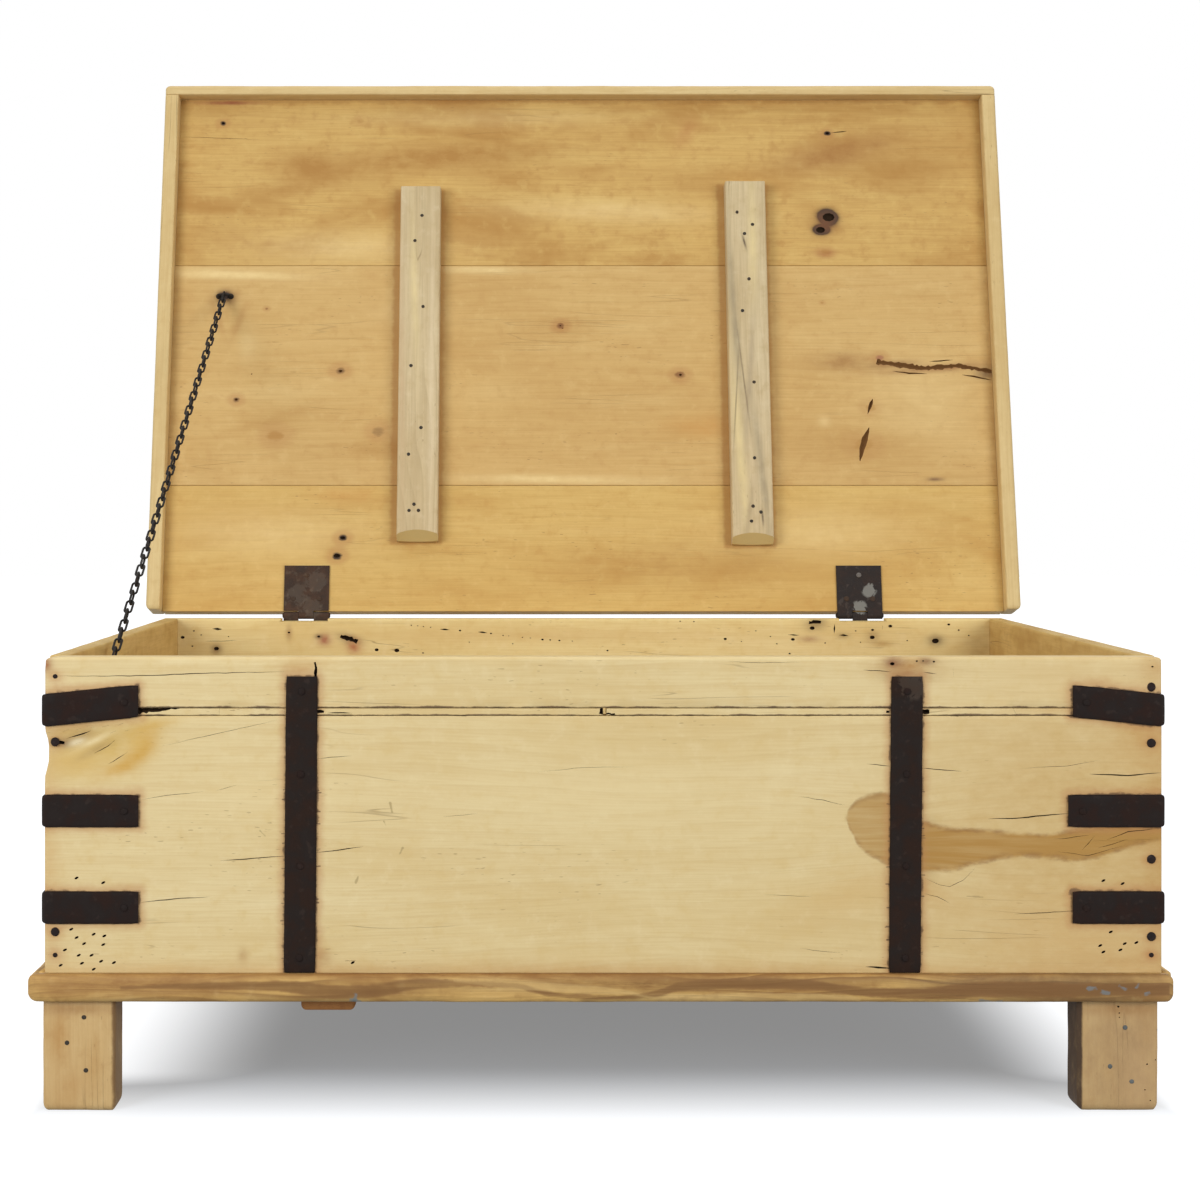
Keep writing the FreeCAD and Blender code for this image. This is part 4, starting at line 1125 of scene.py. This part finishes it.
lid_woods = {
    node: wood(node.replace("board_", "") + "_wood", look, "flat", True, seed, **lid_marks_and_shade(node))
    for node, look, seed in (
        ("lid_board_rear", LID_REAR_LOOK, 43.3), ("lid_board_middle", LID_MIDDLE_LOOK, 45.9),
        ("lid_board_front", LID_FRONT_LOOK, 41.6),
    )
}
edge_wood = wood("edge_wood", EDGE_LOOK, "flat", True, 48.2)
side_edge_wood = wood("side_edge_wood", EDGE_LOOK, "deep_flat", True, 52.9)
GREY_STREAK = (150, 136, 108)
YELLOW_STREAK = (228, 208, 150)
left_batten_wood = wood(
    "left_batten_wood", BATTEN_LOOK, "deep_flat", True, 57.4,
    clouds=batten_marks((
        # The pale cloud along the batten's right edge at -192 is a painted highlight on its rounded edge
        (-230, -300, 190, 4, (196, 168, 128), 0.5, 1), (-192, -300, 220, 4, (226, 208, 172), 0.5),
        (-215, -420, 90, 5, YELLOW_STREAK, 0.45, 2),
    )),
)
right_batten_wood = wood(
    "right_batten_wood", BATTEN_LOOK, "deep_flat", True, 61.8,
    clouds=batten_marks((
        (196, -380, 120, 5, GREY_STREAK, 0.6, 3), (214, -300, 110, 4, (168, 150, 120), 0.6, -5),
        (226, -180, 90, 5, GREY_STREAK, 0.65, 6), (200, -200, 120, 6, YELLOW_STREAK, 0.6, 4),
        (208, -110, 50, 4, (160, 140, 108), 0.6, -8), (222, -480, 80, 6, YELLOW_STREAK, 0.5),
        (211, -481, 9, 1.5, (70, 54, 40), 0.9, 14), (206, -300, 60, 1.0, (120, 104, 76), 0.7, 6),
        (196, -270, 60, 0.9, (120, 104, 76), 0.7, -4), (226, -116, 9, 1.4, (70, 54, 40), 0.9, 4),
    )),
)
end_grain = plain("end_grain", (206, 186, 130), 0.8)

strap_iron = iron("strap_iron", (24, 16, 13), (50, 39, 34), (38, 24, 19), shine=0.14)
scraped_iron = iron("scraped_iron", (26, 18, 14), (52, 40, 34), (40, 26, 19), shine=0.14, paint=(
    (92, 78, 66), 0.62, 0.3, ((290 * MM, 400 * MM),), 14 * MM,
))
nail_iron = iron("nail_iron", (30, 24, 24), (60, 52, 50), (44, 32, 28))
small_nail_iron = iron("small_nail_iron", (58, 54, 48), (88, 82, 72), (72, 60, 48))
grey_nail_iron = iron("grey_nail_iron", (104, 108, 106), (132, 136, 134), (90, 90, 86))
hinge_iron = iron("hinge_iron", (62, 48, 38), (112, 96, 80), (78, 58, 44), shine=0.2)
LEAF_MIDDLE_Z = sum(span_of(points_of("hinge_lid_leaf_right"), 2)) / 2


def on_leaf(side, across, down):
    """A place on an open lid leaf, from shares of its width and height."""
    low, high = box_of(points_of("hinge_lid_leaf_" + side))
    return low.x + (high.x - low.x) * across, high.z - (high.z - low.z) * down


mottled_iron = iron("mottled_iron", (54, 41, 33), (100, 86, 72), (76, 56, 44), shine=0.2, paint=(
    (104, 92, 80), 0.6, 0.3,
    (on_leaf("left", 0.3, 0.55), on_leaf("left", 0.7, 0.3), on_leaf("left", 0.6, 0.8)), 14 * MM,
))
painted_iron = iron("painted_iron", (38, 32, 30), (84, 74, 68), (52, 42, 38), shine=0.2, paint=(
    (138, 138, 132), 0.6, 0.7, (on_leaf("right", 0.72, 0.46), on_leaf("right", 0.5, 0.78)), 9 * MM,
))
bright_screw = iron("bright_screw", (104, 98, 92), (150, 144, 134), (84, 76, 70), (0.4, 0.6), shine=0.35)
chain_iron = iron("chain_iron", (24, 21, 19), (58, 52, 46), (36, 29, 25), shine=0.3)


SCOOP_PLACE, SCOOP_REACH, SCOOP_DEPTH = (-478, 344), (46, 20), 2.2 * MM
BAY_HEIGHT, BAY_REACH, BAY_DEPTH = 336, 17, 3.8 * MM
RIPPLE_DEPTH = 0.35 * MM
LEG_BEVEL = 5 * MM
HINGE_SEAT = 3.5 * MM


def rail_corners(point):
    """The front rail's upper corners, worn round."""
    for side, size in ((-1, 7.5 * MM), (1, 5.5 * MM)):
        outer = side * own_box("front_top_rail")[1].x
        centre = Vector((outer - side * size, point.y, RIM - size))
        away = point - centre
        if away.x * side > 0 and away.z > 0 and away.length > size:
            return centre + away * (size / away.length)
    return point


def front_hollows(point):
    """The scoop at the front board's upper left and the hollow in its left edge."""
    low = own_box("front_board")[0]
    (across, up), (reach_across, reach_up) = SCOOP_PLACE, SCOOP_REACH
    away = ((point.x / MM - across) / reach_across) ** 2 + ((point.z / MM - up) / reach_up) ** 2
    ripple = 0.35 * noise.noise(Vector((point.x * 9, 0, point.z * 40))) + 0.35
    face_share = max(0.0, 1 - (point.y - low.y) / (4 * MM))
    rough = math.exp(-away) * (1 + 0.6 * noise.noise(point * 110))
    y = point.y + face_share * (SCOOP_DEPTH * rough + RIPPLE_DEPTH * ripple)
    bay = math.exp(-((point.z / MM - BAY_HEIGHT) / BAY_REACH) ** 4)
    side_share = max(0.0, 1 - (point.x - low.x) / (12 * MM))
    return Vector((point.x + BAY_DEPTH * bay * side_share, y, point.z))


def bevelled_leg(point):
    """The right front leg's inner corner, cut off by hand."""
    low, high = own_box("leg_front_right")
    depth = (point.x - low.x) + (point.y - low.y)
    if point.y < (low.y + high.y) / 2 and depth < LEG_BEVEL:
        lack = (LEG_BEVEL - depth) / 2
        return Vector((point.x + lack, point.y + lack, point.z))
    return point


# The arched bevel at a batten's end: its reach and its rise, at the middle and what they lose at the sides,
# and how far the cutter goes as a share of half the batten's width
BEVEL_ARCH = ((12.5, 5.5), (15, 5))
BEVEL_SPAN = 1.04


def batten_end(batten):
    """Cut the rear end of a lid batten to an arched bevel."""
    low, high = own_box(batten)
    cutter = bmesh.new()
    over = 2 * MM
    half = (high.x - low.x) / 2
    rings = []
    for i in range(15):
        share = BEVEL_SPAN * (2 * i / 14 - 1)
        reach, rise = [(middle - drop * share * share) * MM for middle, drop in BEVEL_ARCH]
        x = (low.x + high.x) / 2 + share * half
        slope = rise / reach
        rings.append([cutter.verts.new(p) for p in (
            (x, high.y - reach - over / slope, low.z - over), (x, high.y + over, low.z + rise + over * slope),
            (x, high.y + over, low.z - over),
        )])
    tube(cutter, rings)
    return cutter


def battens():
    for seed, (side, material) in enumerate((("left", left_batten_wood), ("right", right_batten_wood))):
        node = "lid_batten_" + side
        mesh = bmesh.new()
        add_block(mesh, *own_box(node), ((2.6, 2.6), (1.6, 1.0), (2.2, 0.4)), 9, 0.4, None, seed)
        piece = finished("worn_" + node, mesh)
        piece.data.materials.append(material)
        carve(piece, batten_end(node), end_grain)
        piece.data.transform(TO_OPEN)
        dress(piece, node)


FILLER_CRACKS = (
    (((-360, 379), (-360.3, 371)), 0.9), (((-32, 379), (-32, 371)), 0.9),
    (((384, 378.4), (388, 371.4)), 1.2), (((-441, 375.4), (-420, 376.6), (-396, 378.2)), (8.5, 0.6)),
    (((-269, 374.6), (-262, 374.4)), (4, 3.4)), (((-259, 373.2), (-236, 373.2)), 1.4),
    (((-2, 379.8), (-2.2, 372.2)), (4.6, 4.6)), (((1.4, 372.4), (11, 372.2)), (2.6, 2)),
    (((298.5, 375), (306, 374.6)), (5.2, 4.6)), (((265.5, 374.4), (268.6, 374.4)), (3, 3)),
)
FILLER_FACE = Face((0, FRONT_Y + 0.8 * MM, 0), (1, 0, 0), (0, 0, 1))


def filler_strips():
    """The thin filler in its two lengths."""
    mesh = bmesh.new()
    for points in islands("front_filler_strip"):
        add_block(mesh, *box_of(points), ((0.8, 0.8),) * 3, 12)
    piece = finished("worn_front_filler_strip", mesh)
    piece.data.materials.append(rail_wood)
    rows = [(points, width, 5) for points, width in FILLER_CRACKS]
    carve_cracks(piece, rows, FILLER_FACE, hollow_wood, random.Random(5))
    dress(piece, "front_filler_strip")


# The first torn chip's place, the steps between their columns and rows, and the slope of the strap above them
CHIP_START, CHIP_STEP, CHIP_SLOPE = (-505, 356), (13, 6.5), 0.112


def torn_chips():
    """Short chips torn out of the scoop below the upper left corner strap, clear of one another."""
    draw = random.Random(23)
    chips = []
    for row in range(4):
        for column in range(5 - row // 2):
            u = CHIP_START[0] + column * CHIP_STEP[0] + (row % 2) * 6 + draw.uniform(-1, 1)
            v = CHIP_START[1] + (u + 512) * CHIP_SLOPE - row * CHIP_STEP[1]
            slope = math.radians(draw.uniform(12, 28))
            half = draw.uniform(2.2, 3.6)
            du, dv = half * math.cos(slope), half * math.sin(slope)
            chips.append((((u - du, v - dv), (u + du, v + dv)), draw.uniform(1.8, 2.8), 6.5))
    return chips


def hinge_seats():
    """Where the lid's leaves close into the rear wall's rim."""
    seats = []
    wall_low, wall_high = own_box("rear_top_board")
    for node in ("hinge_wall_leaf_left", "hinge_wall_leaf_right"):
        low, high = own_box(node)
        seats.append((
            Vector((low.x - MM, wall_low.y - MM, RIM - HINGE_SEAT)),
            Vector((high.x + MM, wall_high.y + MM, RIM + MM)),
        ))
    return seats


def walls():
    board(
        "front_top_rail", (rail_wood, hollow_wood), ((2, 2), (3.5, 2.5), (0.8, 3.5)), 10, shape=rail_corners,
        cuts={"cracks": RAIL_CRACKS, "pits": RAIL_PITS}, face=FRONT_FACE,
    )
    board(
        "front_board", (front_wood, hollow_wood, chipped_wood), ((2.5, 2.5), (1.6, 1), (0.8, 1.2)), 7,
        shape=front_hollows, face=FRONT_FACE, cuts={
            "cracks": BOARD_CRACKS, "chips": torn_chips(), "pits": [(u, v, 2.2) for u, v in INSECT_PITS],
            "turn": 28, "flat": 0.5,
        },
    )
    filler_strips()
    board(
        "rear_top_board", (rear_wood, hollow_wood), ((2, 2), (2.5, 2.5), (0.8, 3.0)), 12,
        cuts={"seats": hinge_seats(), "cracks": REAR_CRACKS, "pits": REAR_PITS}, face=REAR_FACE,
    )
    board("rear_lower_board", (rear_wood,), ((2.5, 2.5), (1, 1.6), (0.8, 1.2)))
    for side, across in (("left", (2.5, 1.6)), ("right", (1.6, 2.5))):
        board(side + "_top_board", (side_wood,), (across, (0.6, 0.6), (0.9, 3.5)))
        board(side + "_lower_board", (side_wood,), (across, (0.6, 0.6), (0.8, 0.9)))
    for i in range(4):
        board("floor_board_%d" % (i + 1), (floor_wood,), ((0.9, 0.9),) * 3)
    for side in ("left", "right"):
        board("floor_batten_" + side, (floor_batten_wood,), ((5, 5), (2, 2), (5, 1)))


LEG_PITS = (
    (483, 98, 1.2), (484, 92, 0.8), (484, 88, 0.7), (520, 76, 1.1), (510, 44, 1), (518, 48, 0.8),
    (521, 62, 0.7), (508, 20, 0.8), (513, 10, 0.8),
)


def trims_and_legs():
    board("base_trim_front", (trim_wood,), ((8, 8), (8, 0.8), (8, 7)), 8, 0.35)
    board("base_trim_rear", (trim_wood,), ((8, 8), (0.8, 8), (8, 7)), 8, 0.35)
    board("base_trim_left", (side_trim_wood,), ((8, 0.8), (0.8, 0.8), (8, 7)), 12, 0.35)
    board("base_trim_right", (side_trim_wood,), ((7, 0.8), (0.8, 0.8), (8, 7)), 12, 0.35)
    leg = (((5, 4), (4.5, 4.5), (7, 0.8)), 6, 0.4)
    front = Face((0, own_box("leg_front_right")[0].y, 0), (1, 0, 0), (0, 0, 1))
    board("leg_front_left", (left_leg_wood,), *leg)
    board("leg_front_right", (right_leg_wood, hollow_wood), *leg, bevelled_leg, {"pits": LEG_PITS}, front)
    board("leg_rear_left", (left_leg_wood,), *leg)
    board("leg_rear_right", (right_leg_wood,), *leg)


def lid():
    for node, material in lid_woods.items():
        inside = brown_hollow_wood if node == "lid_board_middle" else hollow_wood
        rounds = ((0.6, 0.6), (0.7, 0.7), (0.7, 1.2))
        board(node, (material, inside), rounds, 16, cuts=LID_CUTS[node], face=LID_FACE)
    for side, material, rounds in (
        ("front", edge_wood, ((7.5, 7.5), (7.5, 1.4))), ("left", side_edge_wood, ((5, 1.6), (0.5, 7))),
        ("right", side_edge_wood, ((1.6, 5), (0.5, 7))),
    ):
        board("lid_edge_" + side, (material,), (*rounds, (3.5, 3)), 10)
    battens()


# The worn section of a flat bar, as shares of half its width and of its thickness
HALF_SECTION = ((1.0, 0.0), (1.0, 0.35), (0.97, 0.68), (0.9, 0.9), (0.78, 0.985), (0.4, 1.0))
BAR_SECTION = [(-side, lift) for side, lift in HALF_SECTION] + [(0.0, 1.0)] + list(reversed(HALF_SECTION))
STRAP_THICKNESS = 3 * MM
STRAP_BEND = 2.2 * MM
# What is left of a bar's width and thickness at its two ends
END_WIDTH, END_THICKNESS = 0.95, 0.82


def add_bar(mesh, path, across, width, seed):
    """A forged flat bar along a path on the surface that carries it.

    The path is a list of places on that surface, with the outward normal and the share of the width at each.
    """
    rings = []
    for i, (spot, normal, share) in enumerate(path):
        at_end = i in (0, len(path) - 1)
        ring = []
        for side, lift in BAR_SECTION:
            wobble = noise.noise(spot * 60 + Vector((side * 1.3, seed, 0)))
            half = width / 2 * share * (END_WIDTH if at_end else 1.0) * (1 - 0.012 - 0.022 * wobble)
            dent = 1 - 0.05 * abs(noise.noise(spot * 45 + across * (side * 0.8) + Vector((0, 0, seed))))
            depth = STRAP_THICKNESS * lift * dent * (END_THICKNESS if at_end and lift > 0.5 else 1.0)
            ring.append(mesh.verts.new(spot + across * (half * side) + normal * depth))
        rings.append(ring)
    tube(mesh, rings)


def corner_straps():
    """Bars bent round the corners with a soft outer bend."""
    steps = [i / 12 for i in range(13)]
    for node in SLOT_OF:
        if not node.startswith("corner_straps"):
            continue
        mesh = bmesh.new()
        for seed, points in enumerate(islands(node)):
            outer_x, inner_x, outer_y, inner_y, at_end, at_side, at_corner, half = strap_line(points)
            sx, sy = math.copysign(1, outer_x), math.copysign(1, outer_y)
            face_x, face_y = outer_x - sx * STRAP_THICKNESS, outer_y - sy * STRAP_THICKNESS
            bend_x, bend_y = face_x - sx * STRAP_BEND, face_y - sy * STRAP_BEND
            start, corner = Vector((inner_x, face_y, at_end)), Vector((bend_x, face_y, at_corner))
            path = [(start.lerp(corner, share), Vector((0, sy, 0)), 1.0) for share in steps]
            for i in range(1, 6):
                angle = math.pi / 2 * i / 6
                normal = Vector((sx * math.sin(angle), sy * math.cos(angle), 0))
                spot = Vector((bend_x, bend_y, at_corner)) + normal * STRAP_BEND
                path.append((spot, normal, 1.0 - 0.05 * math.sin(angle)))
            corner, end = Vector((face_x, bend_y, at_corner)), Vector((face_x, inner_y, at_side))
            for share in steps:
                path.append((corner.lerp(end, share), Vector((sx, 0, 0)), 0.95 + 0.05 * min(1, share * 4)))
            add_bar(mesh, path, Vector((0, 0, 1)), 2 * half, seed + 3 * len(node))
        dress(finished("forged_" + node, mesh, FORGED_EDGE), node, strap_iron)


def face_straps():
    for node in ("face_strap_left", "face_strap_right"):
        low_x, high_x, z0, z1 = strap_ends(node)
        start, end = Vector((sum(low_x) / 2, FRONT_Y, z0)), Vector((sum(high_x) / 2, FRONT_Y, z1))
        path = [(start.lerp(end, i / 40), Vector((0, -1, 0)), 1.0) for i in range(41)]
        mesh = bmesh.new()
        add_bar(mesh, path, Vector((1, 0, 0)), low_x[1] - low_x[0], len(node))
        dress(finished("forged_" + node, mesh, FORGED_EDGE), node, scraped_iron)


def principal_axes(points):
    """Centre and unit axes of a cloud of points, from longest to shortest, with its half sizes."""
    centre = sum(points, Vector()) / len(points)
    cloud = np.array([tuple(p - centre) for p in points])
    vectors = np.linalg.eigh(cloud.T @ cloud)[1]
    axes = [Vector(vectors[:, i]) for i in (2, 1, 0)]
    reaches = [[(p - centre).dot(axis) for p in points] for axis in axes]
    return centre, axes, [(max(reach) - min(reach)) / 2 for reach in reaches]


# A forged head's rings: shares of its radius and height
HEAD_PROFILE = ((1.0, 0.0), (0.99, 0.35), (0.9, 0.68), (0.7, 0.88), (0.4, 0.97))
# Half a screw slot's width, and its depth as a share of the head's height
SLOT_HALF, SLOT_DEPTH = 0.7 * MM, 0.45


def add_head(mesh, points, draw, sides, slot):
    """One uneven forged head over a plain one; with a slot, a screw's. Returns its centre and faces."""
    centre, (across, other, out), halves = principal_axes(points)
    rims = {}
    for sign in (-1, 1):
        level = [p - centre for p in points if (p - centre).dot(out) * sign > 0]
        rims[sign] = sum((p - out * p.dot(out)).length for p in level) / len(level)
    if rims[1] > rims[-1]:
        out = -out
    height, radius = 2 * halves[2], max(rims.values())
    seat = centre - out * height / 2
    other = out.cross(across)
    spin = draw.uniform(0, math.tau)
    oval = draw.uniform(0.9, 1.0)
    tilt = draw.uniform(-0.12, 0.12)
    rings = []
    for share, lift in HEAD_PROFILE:
        ring = []
        for angle in turns(sides, spin):
            dented = 1 - 0.07 * abs(noise.noise(Vector((math.cos(angle) * 2, math.sin(angle) * 2, spin))))
            side = share * radius * dented
            rise = lift * height * (1 + tilt * math.cos(angle) * share) / (1 + abs(tilt))
            if slot and abs(side * math.sin(angle)) < slot and lift > 0.3:
                rise -= SLOT_DEPTH * height
            spot = seat + across * (side * math.cos(angle)) + other * (side * oval * math.sin(angle))
            ring.append(mesh.verts.new(spot + out * rise))
        rings.append(ring)
    return centre, tube(mesh, rings)


def nail_heads(node, *materials, sides=14, slot=None, second=None):
    """All of a node's heads; those that pass the test second get the second material."""
    mesh = bmesh.new()
    draw = random.Random(node)
    for points in islands(node):
        centre, faces = add_head(mesh, points, draw, sides, slot)
        if second and second(centre):
            for face in faces:
                face.material_index = 1
    dress(finished("forged_" + node, mesh, FORGED_EDGE), node, *materials)


def ring_of(mesh, centre, out, other, radius, sides):
    return [
        mesh.verts.new(centre + out * (radius * math.cos(angle)) + other * (radius * math.sin(angle)))
        for angle in turns(sides)
    ]


LINK_TWIST = 5
# The bend of a staple's corners, as a multiple of the wire's radius
STAPLE_BEND = 1.9


def round_links(node, sides=9, bow_steps=8):
    """Round wire links over a node's faceted ones."""
    mesh = bmesh.new()
    draw = random.Random(node)
    for points in islands(node):
        centre, (along, wide, normal), (half_length, half_width, wire) = principal_axes(points)
        twist = Matrix.Rotation(math.radians(draw.uniform(-LINK_TWIST, LINK_TWIST)), 3, along)
        wide = twist @ wide
        bow = half_width - wire
        rings = []
        for side in (1, -1):
            end = centre + along * (side * (half_length - half_width))
            for i in range(bow_steps + 1):
                angle = math.radians(180 * i / bow_steps - side * 90)
                out = along * math.cos(angle) + wide * math.sin(angle)
                rings.append(ring_of(mesh, end + out * bow, out, twist @ normal, wire, sides))
        tube(mesh, rings, True)
    dress(finished("wire_" + node, mesh), node, chain_iron)


def staple(node, out, run, swollen):
    """A bent wire with its two legs on the wood, along its own box; out is away from the wood.

    swollen is how much thicker the legs are where they enter the wood.
    """
    low, high = own_box(node)
    centre, half = (low + high) / 2, (high - low) / 2
    out, run = Vector(out), Vector(run)
    other = out.cross(run)
    wire = abs(half.dot(other))
    bend = STAPLE_BEND * wire
    reach = abs(half.dot(run)) - wire
    seat = centre - out * abs(half.dot(out))
    top = 2 * abs(half.dot(out)) - wire
    rings = []
    for side in (-1, 1):
        corner = seat + run * (side * (reach - bend)) + out * (top - bend)
        leg = seat + run * (side * reach)
        legs = ((0, swollen), (0.12, swollen * 0.95), (0.28, 1 + (swollen - 1) * 0.45))
        steps = [(leg + out * (rise * top), run * side, wire * thick) for rise, thick in legs]
        for i in range(7):
            angle = math.pi / 2 * i / 6
            away = run * (side * math.cos(angle)) + out * math.sin(angle)
            steps.append((corner + away * bend, away, wire))
        rings.extend(steps if side < 0 else reversed(steps))
    mesh = bmesh.new()
    tube(mesh, [ring_of(mesh, spot, away, other, radius, 12) for spot, away, radius in rings])
    piece = finished("wire_" + node, mesh)
    if node in LID_NODES:
        piece.data.transform(TO_OPEN)
    dress(piece, node, chain_iron)


def iron_work():
    corner_straps()
    face_straps()
    nail_heads("strap_nails", strap_iron)
    nail_heads("wall_nails", nail_iron)
    nail_heads("leg_nails", small_nail_iron, grey_nail_iron, second=lambda centre: centre.x > 0)
    nail_heads("lid_batten_nails", small_nail_iron)
    nail_heads(
        "hinge_lid_screws", hinge_iron, bright_screw, sides=20, slot=SLOT_HALF,
        second=lambda centre: centre.x > 0 and centre.z > LEAF_MIDDLE_Z + 12 * MM,
    )
    nail_heads("hinge_wall_screws", hinge_iron, sides=20, slot=SLOT_HALF)
    for side, material in (("left", mottled_iron), ("right", painted_iron)):
        for node in ("hinge_wall_leaf_", "hinge_pin_", "hinge_lid_leaf_"):
            keep(node + side, material)
    for node in ("chain_wall_run", "chain_wall_fold", "chain_lid_fold", "chain_lid_run"):
        round_links(node)
    staple("chain_wall_staple", (1, 0, 0), (0, 1, 0), 1.0)
    staple("chain_lid_staple", (0, 0, -1), (1, 0, 0), 3.0)


# The ground's ramps of whiteness: the glow that the camera sees is painted lower under the table, a painted shadow
# over the real one. In millimetres from the table's middle: where each starts and ends
RAMP_MIDDLE = -84
PAINTED_SHADOW_RAMPS = {
    "ahead": (171, 461), "under": (290, 196), "left": (-320, -545), "right": (385, 570),
    "outside": (490, 560),
}
GROUND_HALF = 14.0
GROUND_GREY = (0.26, 0.285, 0.325)
# The glow that is left under the table: painted light that lifts the real shadow there
GROUND_GLOW = 0.24
WHITE = (255, 255, 255)


def floor_material():
    """White ground: a neutral painted shadow under the table, where its glow is lower, laid over the real shadow;
    it fades to plain white round it.
    """
    s = Shader("ground")
    x, y = s.split(s.place)[:2]
    from_middle = abs(y - RAMP_MIDDLE * MM)
    places = {"ahead": from_middle, "under": from_middle, "left": x, "right": x, "outside": abs(x)}
    shares = {name: s.span(places[name], *[end * MM for end in ends]) for name, ends in PAINTED_SHADOW_RAMPS.items()}
    beside = shares["left"].at_least(shares["right"]) * shares["under"]
    share = shares["ahead"].at_least(beside).at_least(shares["outside"])
    path = s.node("LightPath")
    seen = (s.out(path, "Is Camera Ray") + s.out(path, "Is Glossy Ray")).at_most(1.0)
    # Painted shadow: the camera sees less glow under the table and full glow round it
    painted_shadow_glow = seen * (share * (1 - GROUND_GLOW) + GROUND_GLOW)
    s.named(s.surface, Emission_Color=WHITE, Emission_Strength=painted_shadow_glow)
    material = s.finish(WHITE, 1.0, 0.0)
    s.surface.inputs["Base Color"].default_value = (*GROUND_GREY, 1)
    return material


def stage():
    mesh = bmesh.new()
    for x, y in ((-1, -1), (1, -1), (1, 1), (-1, 1)):
        mesh.verts.new((x * GROUND_HALF, y * GROUND_HALF, 0))
    mesh.faces.new(mesh.verts)
    ground = finished("ground", mesh)
    ground.data.materials.append(floor_material())


def area_light(name, place, target, size, power):
    light = bpy.data.lights.new(name, "AREA")
    light.shape = "RECTANGLE"
    light.size, light.size_y = size
    light.energy = power
    lamp = bpy.data.objects.new(name, light)
    lamp.location = place
    lamp.rotation_euler = (Vector(target) - Vector(place)).to_track_quat("-Z", "Y").to_euler()
    bpy.context.scene.collection.objects.link(lamp)


# Each lamp's place, target, size and power
LAMPS = {
    "left_softbox": ((-2.3, -2.7, 1.35), (0, 0, 0.45), (1.6, 1.6), 62),
    "right_softbox": ((2.3, -2.7, 1.3), (0, 0, 0.45), (1.6, 1.6), 48),
    "overhead": ((0, 0.2, 3.4), (0, 0, 0), (3.0, 2.4), 22),
}
AMBIENT = 0.5


def lighting():
    world = bpy.data.worlds.new("surroundings")
    world.use_nodes = True
    bpy.context.scene.world = world
    n = Nodes(world.node_tree)
    path = n.node("LightPath")
    seen = n.out(path, "Is Camera Ray").at_least(n.out(path, "Is Glossy Ray"))
    strength = n.span(seen, 0.0, 1.0, AMBIENT, 1.0, "LINEAR")
    n.named(world.node_tree.nodes["Background"], Color=WHITE, Strength=strength)
    for name, lamp in LAMPS.items():
        area_light(name, *lamp)


def camera():
    data = bpy.data.cameras.new("camera")
    data.sensor_width = SENSOR
    data.lens = SENSOR * FOCAL_PIXELS / PHOTO_SIDE
    data.shift_x = (PHOTO_SIDE / 2 - PRINCIPAL_PIXEL[0]) / PHOTO_SIDE
    data.shift_y = (PRINCIPAL_PIXEL[1] - PHOTO_SIDE / 2) / PHOTO_SIDE
    viewer = bpy.data.objects.new("camera", data)
    viewer.location = (CAMERA_X, FRONT_Y - CAMERA_DISTANCE, CAMERA_HEIGHT)
    viewer.rotation_euler = (math.pi / 2, 0, 0)
    bpy.context.scene.collection.objects.link(viewer)
    bpy.context.scene.camera = viewer


walls()
trims_and_legs()
lid()
iron_work()
stage()
lighting()
camera()
bpy.context.scene.view_settings.view_transform = "Standard"
